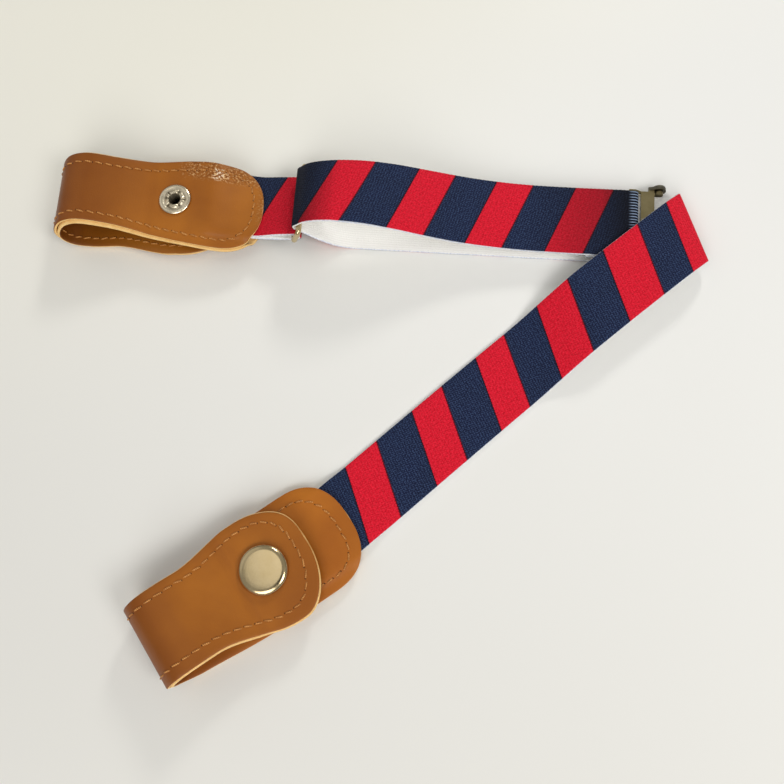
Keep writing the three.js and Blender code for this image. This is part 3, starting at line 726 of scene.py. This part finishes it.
back_rib = s.wave(across, 0.85)
back = s.mix(back_rib * 0.4 + fine * 0.4, colour(238, 237, 234), colour(254, 253, 251))
shows_face = s.step(face, 0.1, 0.55)
blue = s.step(speck, 0.35, 0.65) * 0.35
edge_thread = s.mix(blue, colour(236, 239, 246), colour(120, 146, 196))
surface = s.mix(shows_face, back, dyed)
at_edge = s.step(s.maths("ABSOLUTE", across), *SELVEDGE) * s.step(face, 0.97, 0.7)
surface = s.mix(at_edge * 0.85, surface, edge_thread)

height = thread * 0.5 + fine * 0.7 + speck * 0.3 - seam * 0.25 + open_rib_and_glint
roughness = 0.74 - flecks_and_glints * 0.1 + broad * 0.06
look = {"Sheen_Weight": 0.015, "Sheen_Roughness": 0.5, "Specular_IOR_Level": 0.15}
webbing = s.finish(height, 0.00016, Base_Color=surface, Roughness=roughness, **look)

# %% [markdown]
# Seen from the end, webbing is a flat bar with softly rounded edges. The selvedge is slightly
# scalloped, because each weft thread turns back there. A bump can't change an outline, so the
# scallops are in the mesh.


# %% The straps
WEB_SIDE = 0.35
SCALLOP = 0.04
SCALLOP_PITCH = 1.45
# Ribs part where the webbing is bent more than this, in radians per millimetre, and painted
# glints are put on them there
TIGHT_BEND = 0.65
# How much painted shade darkens the whole short strap
SHORT_STRAP_PAINTED_SHADE = 0.18


def webbing_loop(strip):
    flat_half, thick_half = WEB_HALF - WEB_SIDE, WEB_THICK / 2
    top = np.linspace(-flat_half, flat_half, 15)
    turn = np.radians([0, 35, 65, 90, 115, 145, 180])
    side = [(flat_half + WEB_SIDE * math.sin(a), thick_half * math.cos(a)) for a in turn]
    other_side = [(-x, -z) for x, z in side[:-1]]
    under = [(x, -thick_half) for x in top[::-1][1:-1]]
    loop = np.array([(x, thick_half) for x in top[:-1]] + side + under + other_side)
    widen = strip["half"][:, None] / WEB_HALF
    scallop = SCALLOP * np.sin(strip["along"] * 2 * math.pi / SCALLOP_PITCH)[:, None]
    outside = smoothstep(np.abs(loop[:, 0]), WEB_HALF - 0.5, WEB_HALF - 0.1)
    across = loop[:, 0] * widen + np.sign(loop[:, 0]) * outside * scallop
    return across, np.broadcast_to(loop[:, 1], across.shape)


def strap(name, node, strip, bands):
    made, along, across, off = strip_mesh(name, strip, *webbing_loop(strip), webbing)
    write_attribute(made, "face", off / (WEB_THICK / 2))
    place, number = np.array(bands).T
    write_attribute(made, "phase", np.interp(along - STRIPE_SLANT * across, place, number))
    strain = np.convolve(bending(strip) > TIGHT_BEND, np.ones(15) / 15, "same")
    write_attribute(made, "strain", np.repeat(strain, len(off) // len(strain)))
    place, amount = np.array(PAINTED_SHADE_ALONG).T
    painted_shade = np.interp(along, place, amount, right=0.0)
    write_attribute(made, "painted_shade", painted_shade if node == "long_strap" else 0 * along + SHORT_STRAP_PAINTED_SHADE)
    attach(made, "belt")
    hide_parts(node)
    return made


long_webbing = strap("long_webbing", "long_strap", long_strap_rows, LONG_STRAP_BANDS)
short_webbing = strap("short_webbing", "short_strap", short_strap_laid, SHORT_STRAP_BANDS)
print("strap faces:", len(long_webbing.data.polygons), len(short_webbing.data.polygons))

# %% [markdown]
# ## The leather's look
# Smooth tan leather, lacquered to a soft shine, with fine pores, a little cloudiness and
# darker handling marks. Its cut edges are raw and cream. Where the upper tab holds the strap
# the lacquer has cracked into pale flakes along one side, with painted glints on the worst of
# them. One function makes all of these leathers from noise, so that they differ only in a
# brightness level and in the cracks. That level paints light on tab A's lining and shade on
# tab B's lining.


# %% Leather material
def leather_material(name, painted_light_level, cracked):
    s = Shader(name)
    along, across, layer = s.along_across()
    edge = s.read("edge")
    place = s.place()
    cloud = s.noise(place, 30.0, 3.0, 0.5)
    mottle = s.noise(place, 420.0, 2.0, 0.6)
    pores = s.cells(place, 1500.0)
    creases = s.noise(s.stretch(layer, (0.9, 0.16, 1.0)), 1.0, 3.0, 0.6)
    dark = colour(148 * painted_light_level, 82 * painted_light_level, 12 * painted_light_level)
    light = colour(182 * painted_light_level, 110 * painted_light_level, 26 * painted_light_level)
    tan = s.mix(s.step(cloud, 0.25, 0.75), dark, light)
    tan = s.mix(mottle * 0.12, tan, colour(118 * painted_light_level, 62 * painted_light_level, 12 * painted_light_level))
    bent = s.step(s.read("bend"), 0.02, 0.14)
    tan = s.mix(bent * 0.35, tan, colour(126 * painted_light_level, 66 * painted_light_level, 14 * painted_light_level))
    near_rim = s.step(s.read("half") - s.maths("ABSOLUTE", across), 2.2, 0.2)
    tan = s.mix(near_rim * 0.25, tan, dark)
    tan = s.mix(s.read("handled") * 0.6, tan, colour(112 * painted_light_level, 54 * painted_light_level, 2))
    height = pores * 0.3 + mottle * 0.3 + creases * 0.5
    roughness = 0.38 + mottle * 0.12 + cloud * 0.06
    if cracked:
        # Three places, by millimetres along and across the tab
        where = s.step(along, 108, 116) * s.step(across, -7.5, -11.0)
        where = s.maths("MAXIMUM", where, s.step(along, 137, 141) * s.step(across, 8, 2) * 0.6)
        worst = s.step(along, 120.5, 123) * s.step(along, 128, 125.5)
        worst = worst * s.step(across, -8.0, -9.5) * s.step(across, -14.0, -12.5)
        ragged = s.stretch(layer, (1.1, 1.3, 1.0))
        chips = s.noise(ragged, 1.0, 3.0, 0.7)
        broken = where * s.step(s.noise(s.stretch(layer, (0.3, 0.5, 1.0)), 1.0, 2.0), 0.3, 0.5)
        tan = s.mix(broken * 0.35, tan, colour(128, 74, 26))
        tan = s.mix(broken * s.step(chips, 0.45, 0.36) * 0.7, tan, colour(92, 46, 12))
        curled = broken * s.step(chips, 0.53 - worst * 0.06, 0.6 - worst * 0.04)
        tan = s.mix(curled * (0.5 + worst * 0.35), tan, colour(246, 202, 142))
        # The near-white spots on the worst flakes are painted glints
        tan = s.mix(curled * worst * s.step(mottle, 0.4, 0.6) * 0.7, tan, colour(255, 246, 230))
        height = height + broken * chips * 5.0
        roughness = roughness + broken * 0.15
    raw = s.mix(mottle, colour(222, 172, 96), colour(250, 216, 150))
    surface = s.mix(s.step(edge, 0.35, 0.7), tan, raw)
    look = {"Coat_Weight": 0.06, "Coat_Roughness": 0.3, "Specular_IOR_Level": 0.3}
    return s.finish(height, 0.00006, Base_Color=surface, Roughness=roughness, **look)


leather_out = leather_material("leather_tan", 1.0, False)
leather_worn = leather_material("leather_tan_cracked", 1.0, True)
# Tab A's lining is painted lighter and tab B's darker: painted light and painted shade
lining_a_painted_light = leather_material("leather_lining_a_painted_light", 1.1, False)
lining_b_painted_shade = leather_material("leather_lining_b_painted_shade", 0.88, False)


# %% [markdown]
# Each layer is a solid sheet whose outline follows the tab's half width. The show layer is
# trimmed a hair narrower than the layer under it, so both raw edges show as a double line.
# The snap goes through a punched hole, cut here with a cylinder.


# %% The leather layers
SNAP_HOLE = 3.1
# How far the punch reaches below and above the snap's own level
PUNCH_DOWN, PUNCH_UP = 20, 40
BEVEL = 0.42
LEATHER_PITCH = 0.9
# Fingers darken the leather towards the fold, between these distances from it
HANDLED = (40, 5)
# The layers close up again between these distances from the held strap's middle
CLOSE_UP = (12.9, 15.5)


def snap_spot(tab):
    return tab["corner"] + heading(tab["heading"]) * SNAP_AT


def layer_gap(near, across, beside):
    """How far each layer is from the middle, at its own distance across."""
    held = 1 - smoothstep(np.abs(across - beside), *CLOSE_UP)
    return LAYER_GAP / 2 + (near - LAYER_GAP / 2) * held


def sheet_section():
    """Points round a sheet. Each row: share across, bevel across, share up, bevel up, raw edge."""
    turn = np.radians([0, 30, 60, 90])
    points = [(c, 0, 1, 0, 0) for c in np.linspace(-1, 1, 25)]
    points += [(1, math.sin(a), 1, math.cos(a) - 1, float(a > 1.2)) for a in turn[1:]]
    points += [(1, math.cos(a), 0, 1 - math.sin(a), float(a < 0.3)) for a in turn[:-1]]
    other_side = [(-c, -out, 1 - level, -up, raw) for c, out, level, up, raw in points]
    return np.array(points + other_side).T


def leather_layer(name, node, tab, rows, inner, material):
    strip = thin_rows(rows, LEATHER_PITCH)
    half = strip["half"] if inner else np.maximum(strip["half"] - strip["step"], 0.3)
    bevel = np.minimum(BEVEL, half * 0.4)[:, None]
    column, outward, level, upward, raw = sheet_section()
    across = column * (half[:, None] - bevel) + outward * bevel
    near = layer_gap(strip["near"][:, None], across, tab["strap_beside"])
    low = near if inner else -near - LAYER_THICK
    off = low + level * LAYER_THICK + upward * bevel
    glued = level > 0.99 if not inner else level < 0.01
    edge = np.repeat(np.maximum(raw, glued)[None], len(half), axis=0)
    edge[[0, -1]] = 1.0
    made, *_ = strip_mesh(name, strip, across, off, material)
    write_attribute(made, "edge", edge.ravel())
    handled = smoothstep(np.abs(strip["along"] - strip["along"][-1] / 2), *HANDLED)
    for key, values in (("half", half), ("bend", bending(strip)), ("handled", handled)):
        write_attribute(made, key, np.repeat(values, across.shape[1]))
    punch(made, snap_spot(tab) + SHIFT, SNAP_HOLE)
    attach(made, "belt")
    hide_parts(node)
    return made


def punch(made, spot, radius, sides=48):
    """Cuts the round hole that the snap goes through."""
    turn = circle(sides)
    ring = spot + radius * np.hstack([np.cos(turn), np.sin(turn), 0 * turn])
    points = np.vstack([ring - UP * PUNCH_DOWN, ring + UP * PUNCH_UP])
    cutter = make_mesh("punch", points, tube_faces(2, sides), made.data.materials[0])
    cut = made.modifiers.new("punch", "BOOLEAN")
    cut.operation = "DIFFERENCE"
    cut.solver = "EXACT"
    cut.object = cutter
    graph = bpy.context.evaluated_depsgraph_get()
    punched = bpy.data.meshes.new_from_object(made.evaluated_get(graph))
    made.modifiers.clear()
    made.data = punched
    bpy.data.objects.remove(cutter)


leather_layer("tab_a_show_layer", "tab_a_outer_leather", TAB_A, tab_a_rows, False, leather_out)
leather_layer("tab_a_lining", "tab_a_inner_leather", TAB_A, tab_a_rows, True, lining_a_painted_light)
leather_layer("tab_b_show_layer", "tab_b_outer_leather", TAB_B, tab_b_rows, False, leather_worn)
leather_layer("tab_b_lining", "tab_b_inner_leather", TAB_B, tab_b_rows, True, lining_b_painted_shade)

# %% [markdown]
# ## Stitching
# One row of gold-tan thread runs all the way round each tab, 3 to 5 mm in from the edge. A
# stitch is a short bulge of thread between two needle holes, and neighbours share a hole. A
# texture could draw them, but would look flat at this size, so each one is a small mesh.

# %% Thread, and painted shade for the needle holes
STITCH_PITCH = 3.3
THREAD_RADIUS = 0.26
# The seam's distance from the edge on the tab's two long sides (of its flap and of its fixed
# arm) and round its two ends, and how much it cuts one corner more than the other
SEAM_INSETS = {
    "tab_a": {
        "left": (3.1, 4.0), "right": (3.9, 3.9), "flap end": 4.2, "fixed end": 4.6, "corners": 1.1,
    },
    "tab_b": {
        "left": (3.0, 3.0), "right": (3.5, 3.5), "flap end": 3.2, "fixed end": 3.3, "corners": 0.0,
    },
}

s = Shader("thread")
along, around, layer = s.along_across()
ply_twist_and_highlight = s.wave(along + around * 0.5, 0.55)
worn = s.noise(s.place(), 900.0, 2.0)
# The twist's lighter turns are partly painted highlights on the plies
base = s.mix(ply_twist_and_highlight, colour(170, 104, 40), colour(228, 166, 94))
base = s.mix(s.step(worn, 0.4, 0.6) * 0.5, base, colour(150, 88, 30))
thread = s.finish(ply_twist_and_highlight, 0.00008, Base_Color=base, Roughness=0.62, Specular_IOR_Level=0.35)

# Painted shade: the dark inside a needle hole, laid on the leather as a flat disc
s = Shader("needle_hole_shade")
shade = s.mix(s.noise(s.place(), 1200.0), colour(48, 22, 5), colour(74, 36, 10))
needle_hole_shade = s.finish(None, Base_Color=shade, Roughness=0.9)


# %% The seam's path
OUTLINE_STEPS = 1400


def inset_path(rows, inner, insets):
    """The seam in the leather's own flat coordinates: distance along, distance across."""
    half = rows["half"] - (0 if inner else rows["step"])
    one_side = np.stack([rows["along"], half], axis=1)
    outline = np.vstack([one_side, one_side[::-1] * (1, -1)])
    outline = spaced(np.vstack([outline, outline[:1]]), OUTLINE_STEPS)[:-1]
    ahead = unit(np.roll(outline, -6, axis=0) - np.roll(outline, 6, axis=0))
    inward = np.stack([ahead[:, 1], -ahead[:, 0]], axis=1)
    share = outline[:, 0] / outline[:, 0].max()
    left, right = (np.interp(share, [0.3, 0.7], insets[which]) for which in ("left", "right"))
    sideways = np.where(inward[:, 1] < 0, left, right)
    endways = np.where(inward[:, 0] > 0, insets["flap end"], insets["fixed end"])
    reach = sideways * inward[:, 1] ** 2 + endways * inward[:, 0] ** 2
    reach = reach + insets["corners"] * inward[:, 0] * inward[:, 1]
    path = outline + inward * reach[:, None]
    smooth = sum(np.roll(path, k, axis=0) for k in range(-7, 8)) / 15
    return np.vstack([smooth, smooth[:1]])


def on_leather(rows, flat, off):
    """Points off the bent leather's middle, from their flat coordinates, and the normals there."""
    middle, across, normal = (
        read_off(flat[..., 0], rows["along"], rows[key]) for key in ("middle", "across", "normal")
    )
    normal = unit(normal)
    return middle + across * flat[..., 1:] + normal * off[..., None], normal


# %% A row of stitches with painted shade in its needle holes
STITCH_RINGS, STITCH_SIDES, HOLE_SIDES = 8, 7, 10
# From a needle hole's middle to the thread's end, and how uneven each stitch's start, end and
# slant may be
STITCH_END = 0.28
UNEVEN = ((-0.06, -0.06, 0.12), (0.06, 0.06, 0.38))
# How high a stitch stands on the leather, and how deep its ends dive
STITCH_RISE, STITCH_DIVE = 0.1, 0.42
HOLE_BACK, HOLE_WIDE, HOLE_LONG = 0.26, 0.42, 0.5
# Nothing reaches lower than this over the table
TABLE_SKIN = 0.02


def repeated(faces, size, count):
    """One small piece's faces, for many pieces of this many points that follow one another."""
    return [tuple(n * size + v for v in face) for n in range(count) for face in faces]


def stitch_row(name, tab, rows, inner, insets, seed):
    path = inset_path(rows, inner, insets)
    distance = distances(path)
    count = int(distance[-1] / STITCH_PITCH)
    start = np.arange(count) * distance[-1] / count + STITCH_END
    end = np.arange(1, count + 1) * distance[-1] / count - STITCH_END
    early, late, slant = np.random.default_rng(seed).uniform(*UNEVEN, (count, 3)).T
    travel = np.linspace(start + early, end + late, STITCH_RINGS, axis=1)
    share = np.linspace(-1, 1, STITCH_RINGS)
    flat = read_off(travel, distance, path)
    ahead = unit(flat[:, -1:] - flat[:, :1])
    flat = flat + ahead[..., ::-1] * (-1, 1) * (slant[:, None] * share)[..., None]
    near = np.interp(flat[..., 0], rows["along"], rows["near"])
    near = layer_gap(near, flat[..., 1], tab["strap_beside"])
    rise = STITCH_RISE - STITCH_DIVE * np.abs(share) ** 5
    side = 1.0 if inner else -1.0
    centre, normal = on_leather(rows, flat, side * (near + LAYER_THICK + rise))
    normal = normal * side
    forward = unit(np.gradient(centre, axis=1))
    sideways = np.cross(forward, normal)
    turn = circle(STITCH_SIDES)
    radius = (THREAD_RADIUS * (1 - 0.35 * np.abs(share) ** 4))[:, None, None]
    loops = np.cos(turn) * sideways[:, :, None] * 1.1 + np.sin(turn) * normal[:, :, None]
    points = (centre[:, :, None] + radius * loops).reshape(-1, 3) + SHIFT
    points[:, 2] = np.maximum(points[:, 2], TABLE_SKIN + 0.01)
    faces = repeated(tube_faces(STITCH_RINGS, STITCH_SIDES), STITCH_RINGS * STITCH_SIDES, count)
    made = make_mesh(name, points, faces, thread)
    around = turn[:, 0] / (2 * math.pi)
    write_uv(made, np.stack(np.broadcast_arrays(travel[..., None], around), axis=-1).reshape(-1, 2))

    # Each needle hole is a flat dark disc of painted shade
    spot, forward, sideways, normal = (v[:, :1] for v in (centre, forward, sideways, normal))
    spot = spot - forward * HOLE_BACK + normal * (0.04 - rise[0])
    turn = circle(HOLE_SIDES)
    rim = spot + HOLE_WIDE * np.cos(turn) * sideways + HOLE_LONG * np.sin(turn) * forward
    points = np.hstack([rim, spot + normal * 0.02]).reshape(-1, 3) + SHIFT
    points[:, 2] = np.maximum(points[:, 2], TABLE_SKIN)
    fan = [(j, (j + 1) % HOLE_SIDES, HOLE_SIDES) for j in range(HOLE_SIDES)]
    faces = repeated(fan, HOLE_SIDES + 1, count)
    hole_shades = make_mesh(name.replace("stitches", "needle_hole_shades"), points, faces, needle_hole_shade)
    for piece in (made, hole_shades):
        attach(piece, "belt")
    return count


for label, tab, rows, seed in (("tab_a", TAB_A, tab_a_rows, 11), ("tab_b", TAB_B, tab_b_rows, 23)):
    insets = SEAM_INSETS[label]
    outside = stitch_row(f"{label}_stitches_outside", tab, rows, False, insets, seed)
    inside = stitch_row(f"{label}_stitches_inside", tab, rows, True, insets, seed + 1)
    print(label, "stitches:", outside, "outside,", inside, "inside")

# %% [markdown]
# ## Snaps, ring and adjuster
# The snap's cap is a thin nickel shell rolled over a flat disc, so it has a broad calm face and
# a tight shiny rim. Its counterpart's back is an eyelet, whose barrel was split and curled
# outward, which leaves petals round an open hole. Both are turned from a profile, because that
# gives the rim and the petals true shapes for light to catch; a bump would stay flat.


# %% Metals
# The adjuster's ends turn dark between these distances from its middle, in metres
DARK_FROM = (0.0139, 0.0144)


def metal_material(name, dark, bright, rough, scratch, ends=None):
    """Plated metal. Ends, a middle and a direction, are where a long piece turns dark."""
    s = Shader(name)
    place = s.place()
    grime_and_shade = s.read("grime_and_shade")
    smear = s.noise(place, 260.0, 3.0, 0.6)
    lines = s.noise(s.stretch(place, (5200.0, 420.0, 2400.0)), 1.0, 2.0, 0.6)
    pits = s.cells(place, 1900.0)
    base = s.mix(smear, dark, bright)
    # Grime and painted shade darken the metal where the attribute says so
    base = s.mix(grime_and_shade, base, colour(74, 62, 40))
    if ends:
        reach = s.maths("ABSOLUTE", s.dot(s.vector("SUBTRACT", place, ends[0]), ends[1]))
        base = s.mix(s.step(reach, *DARK_FROM) * 0.75, base, colour(92, 92, 88))
    roughness = rough + smear * 0.08 + lines * 0.05 + grime_and_shade * 0.3
    height = lines * scratch + pits * scratch * 0.6
    look = {"Base_Color": base, "Roughness": roughness, "Metallic": 1.0 - grime_and_shade * 0.5}
    return s.finish(height, 0.00001, **look)


adjuster_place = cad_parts["adjuster_base"].matrix_world.inverted()
adjuster_middle = adjuster_place @ Vector((axis_point(LOOP_BAR[0], 0) + SHIFT) * MM)
adjuster_side = adjuster_place.to_3x3() @ Vector(axis_across)
adjuster_ends = (tuple(adjuster_middle), tuple(adjuster_side))
nickel = metal_material("nickel", colour(192, 171, 127), colour(216, 197, 158), 0.12, 0.4)
# A brighter copy of the nickel for the eyelets: painted reflection of the bright things round them
nickel_painted_bright = metal_material(
    "eyelet_nickel_painted_bright", colour(222, 206, 172), colour(248, 238, 216), 0.2, 0.6
)
plated = metal_material(
    "plated_steel", colour(132, 120, 84), colour(160, 148, 112), 0.3, 1.6, adjuster_ends
)
gunmetal = metal_material("hidden_steel", colour(90, 88, 80), colour(128, 124, 112), 0.3, 1.4)


# %% Turned shapes
def turned(name, profile, spot, flipped, metal, petals=None, sides=72):
    """A profile of radius and height turned round an upright axis."""
    turn = circle(sides)
    closed = profile[0] == profile[-1]
    points, grime_and_shade = [], []
    for radius, height in profile[:-1] if closed else profile:
        lift, grime_and_shade_level = petals(radius, turn) if petals else (0 * turn, 0 * turn)
        level = (height + lift) * (-1 if flipped else 1)
        points.append(np.hstack([radius * np.cos(turn), radius * np.sin(turn), level]))
        grime_and_shade.append(grime_and_shade_level[:, 0])
    points = np.vstack(points) + spot + SHIFT
    points[:, 2] = np.maximum(points[:, 2], TABLE_SKIN)
    made = make_mesh(name, points, tube_faces(len(grime_and_shade), sides, closed), metal)
    write_attribute(made, "grime_and_shade", np.concatenate(grime_and_shade))
    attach(made, "belt")
    return made


# Between the two leathers for socket and stud, and from the leather up to the cap's rim
SNAP_SPACE, CAP_LIFT = 3.4, 0.35
CAP_BASE = 2 * LEATHER_THICK + SNAP_SPACE + CAP_LIFT
CAP_RIM, RIM_ROUND = 7.7, 0.3
POST, POST_DEPTH = 2.1, 2.6
# Each row: radius, and height over the rim, from the cap's rim over its shoulder to its middle
CAP_CROWN = [
    (7.98, 0.46), (7.94, 0.66), (7.87, 0.86), (7.76, 1.04), (7.6, 1.24), (7.4, 1.42),
    (7.15, 1.58), (6.9, 1.69), (6.65, 1.77), (6.4, 1.825), (6.1, 1.865), (5.8, 1.885),
    (4.6, 1.91), (3.4, 1.925), (2.2, 1.94), (1.0, 1.947), (0.05, 1.95),
]
foot = CAP_BASE - POST_DEPTH
cap_profile = [(0.05, foot), (POST, foot), (POST, CAP_BASE), (CAP_RIM, CAP_BASE)]
for angle in np.radians([25, 50, 75, 90]):
    out, up = RIM_ROUND * math.sin(angle), RIM_ROUND - RIM_ROUND * math.cos(angle)
    cap_profile.append((CAP_RIM + out, CAP_BASE + up))
cap_profile += [(radius, CAP_BASE + height) for radius, height in CAP_CROWN]

# The barrel, the curled rim, the flange and back inside, as radius and height
EYELET_PROFILE = [
    (2.0, 4.1), (2.0, -0.55), (2.12, -0.8), (2.45, -0.98), (2.9, -1.0), (3.3, -0.86),
    (3.6, -0.52), (4.0, -0.62), (4.4, -0.8), (4.8, -0.87), (5.2, -0.8), (5.55, -0.6),
    (5.75, -0.35), (2.75, -0.35), (2.75, 4.1), (2.0, 4.1),
]


def petals(radius, turn):
    """Six curled petals between the hole and the flange's hollow, no two alike."""
    strength = math.exp(-(((radius - 2.95) / 0.75) ** 2)) if 2.1 < radius < 4.6 else 0.0
    uneven = turn + 0.22 * np.sin(2 * turn + 0.7) + 0.12 * np.sin(5 * turn)
    slit = np.abs(np.cos(3 * uneven)) ** 6
    wobble = 0.09 * np.sin(4 * turn + radius * 2) + 0.05 * np.sin(9 * turn - radius * 3)
    groove = math.exp(-(((radius - 3.7) / 0.3) ** 2)) * (0.5 + 0.5 * np.sin(3 * turn + 1.0))
    # Grime and painted shade in the petals' slits and groove, and painted shade inside the barrel
    inside = 0.8 if radius < 2.2 else 0.0
    grime_and_shade_level = np.clip(strength * slit * 1.1 + groove * 0.8 + inside, 0, 1)
    return strength * (0.5 * slit + 1.6 * wobble), grime_and_shade_level


for label, tab in (("tab_a", TAB_A), ("tab_b", TAB_B)):
    flipped = tab["turned_over"]
    shift = LEATHER_THICK / 2 * (1 if flipped else -1)
    spot = snap_spot(tab) + UP * (tab["snap_height"] + shift)
    cap = turned(f"{label}_cap", cap_profile, spot, flipped, nickel)
    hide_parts(f"{label}_snap_cap")
    eyelet = turned(f"{label}_eyelet", EYELET_PROFILE, spot, flipped, nickel_painted_bright, petals, 120)
    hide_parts(f"{label}_snap_eyelet")
    print(label, "snap at", spot.round(2))

# %% [markdown]
# The ring is a single bent wire. A curve object could have a round bevel, but the frame wants
# a mesh, so its loops of points are laid along a rounded rectangle that stands between the two
# straps, rolled a little to one side as the hump pulls it.


# %% The ring
RING_HALF = 14.5
RING_CORNER = 1.5
BARS_APART = 7.5
WIRE_SIDES = 16
RING_STEPS = 150

low, top = axis_point(*RING_LOW), axis_point(*RING_TOP)
out = rolled_across(RING_ROLL) * RING_HALF
rise = unit(top - low) * BARS_APART
corners = [low - out, low + out, low + rise + out, low + rise - out]
points = []
for i, here in enumerate(corners):
    start = here + unit(corners[i - 1] - here) * RING_CORNER
    end = here + unit(corners[(i + 1) % 4] - here) * RING_CORNER
    u = np.linspace(0, 1, 10)[:, None]
    points.append(start * (1 - u) ** 2 + here * 2 * u * (1 - u) + end * u**2)
ring_line = spaced(np.vstack([*points, points[0][:1]]), RING_STEPS)[:-1]

ahead = unit(np.roll(ring_line, -1, axis=0) - np.roll(ring_line, 1, axis=0))
# Three of its points give the plane in which the wire is bent
flat = unit(np.cross(ring_line[40] - ring_line[0], ring_line[80] - ring_line[0]))
turn = circle(WIRE_SIDES)
loops = np.cos(turn) * np.cross(ahead, flat)[:, None] + np.sin(turn) * flat
points = (ring_line[:, None] + WIRE_RADIUS * loops).reshape(-1, 3) + SHIFT
ring = make_mesh("wire_ring", points, tube_faces(RING_STEPS, WIRE_SIDES, closed=True), nickel)
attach(ring, "belt")
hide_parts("ring")
print("ring:", len(ring.data.polygons), "faces")

# %% [markdown]
# The adjuster, the sockets and the studs have their right shapes in the CAD frame already, so
# they stay and only get their metals.

# %% Metals for the frame's own parts
own_metals = {"adjuster_base": plated, "adjuster_lever": plated}
for label in ("tab_a", "tab_b"):
    own_metals.update({f"{label}_snap_{part}": gunmetal for part in ("socket", "stud")})
for name, metal in own_metals.items():
    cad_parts[name].data.materials.clear()
    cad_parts[name].data.materials.append(metal)
print("own shapes kept:", *own_metals)

# %% [markdown]
# ## Table, light and camera
# The belt lies on a pale table top with hardly any gloss, under soft daylight from the lower
# right. One strong lamp would give hard shadows, so several wide ones share the light. The
# camera stands a little in front of the belt and looks down on it.


# %% The table
s = Shader("table_top")
place = s.place()
broad = s.noise(place, 5.0, 3.0)
base = s.mix(broad, colour(240, 240, 237), colour(248, 248, 246))
# Painted light warms the table towards the far left; painted shade darkens it towards the near side
far_left_painted_light = s.step(s.dot(place, (-0.6, 0.8, 0.0)), 0.0, 0.17)
base = s.mix(far_left_painted_light * 0.6, base, colour(246, 243, 226))
nearer_painted_shade = s.step(s.dot(place, (-0.35, -0.94, 0.0)), -0.12, 0.14)
base = s.mix(nearer_painted_shade, base, colour(229, 228, 223))
roughness = 0.42 + broad * 0.1
pale_top = s.finish(None, Base_Color=base, Roughness=roughness, Specular_IOR_Level=0.25)

TABLE_HALF = 1500
table_corners = np.array([(-1, -1, 0), (1, -1, 0), (1, 1, 0), (-1, 1, 0)]) * TABLE_HALF
table = make_mesh("table_top", table_corners, [(0, 1, 2, 3)], pale_top)


# %% Lights
# Each row: place, width, power, tint
LIGHTS = {
    "window": ((0.75, -0.45, 0.9), 0.5, 4.9, (1.0, 0.99, 0.97)),
    "near_side": ((-0.1, -0.95, 0.8), 0.9, 6.6, (1.0, 0.99, 0.98)),
    "far_side": ((0.35, 1.05, 0.6), 0.22, 3.8, (1.0, 0.99, 0.95)),
    "room": ((-1.1, 0.6, 1.0), 1.6, 1.6, (1.0, 0.99, 0.97)),
    "ceiling": ((-0.18, 0.12, 1.5), 0.62, 0.75, (1.0, 0.97, 0.9)),
}
for name, (place, size, power, tint) in LIGHTS.items():
    light = bpy.data.lights.new(name, "AREA")
    light.shape = "DISK"
    light.size = size
    light.energy = power
    light.color = tint
    lamp = bpy.data.objects.new(name, light)
    bpy.context.scene.collection.objects.link(lamp)
    lamp.location = place
    lamp.rotation_euler = (-Vector(place)).to_track_quat("-Z", "Y").to_euler()
print("lights:", *LIGHTS)

# %% Soft light from all round
# The metal mirrors the bright top of these surroundings and one dark patch beside it
DARK_PATCH = Vector((0.2, -0.24, 0.95)).normalized()
world = bpy.data.worlds.new("studio")
bpy.context.scene.world = world
world.use_nodes = True
s = Shader("studio", world.node_tree)
direction = s.node("ShaderNodeTexCoord", output="Generated")
overhead = s.step(s.dot(direction, (0.0, 0.0, 1.0)), 0.0, 0.7)
patch = s.step(s.dot(direction, tuple(DARK_PATCH)), 0.968, 0.984)
strength = (0.2 + overhead * 0.155) * (1.0 - patch * 0.92)
glow = s.node("ShaderNodeBackground", None, {"Color": (1.0, 0.985, 0.95), "Strength": strength})
output = s.tree.nodes.new("ShaderNodeOutputWorld")
s.tree.links.new(glow.socket, output.inputs["Surface"])

# %% The camera
CAMERA_PLACE = np.array([14.26, -65.92, 264.0]) + SHIFT
LOOK = Vector((-0.05234, 0.24192, -0.96888)).normalized()
LENS_PIXELS = 800.0
FRAME_PIXELS = 784.0
SENSOR = 36.0

camera_data = bpy.data.cameras.new("camera")
camera_data.sensor_width = SENSOR
camera_data.lens = SENSOR * LENS_PIXELS / FRAME_PIXELS
camera_data.clip_start = 0.01
camera = bpy.data.objects.new("camera", camera_data)
bpy.context.scene.collection.objects.link(camera)
upward = Vector((0.0, 1.0, 0.0))
upward = (upward - LOOK * upward.dot(LOOK)).normalized()
right = LOOK.cross(upward)
turned_axes = Matrix((right, upward, -LOOK)).transposed()
camera.matrix_world = Matrix.Translation(Vector(CAMERA_PLACE * MM)) @ turned_axes.to_4x4()
bpy.context.scene.camera = camera
bpy.context.scene.view_settings.view_transform = "Standard"
print("lens:", round(camera_data.lens, 2), "mm")
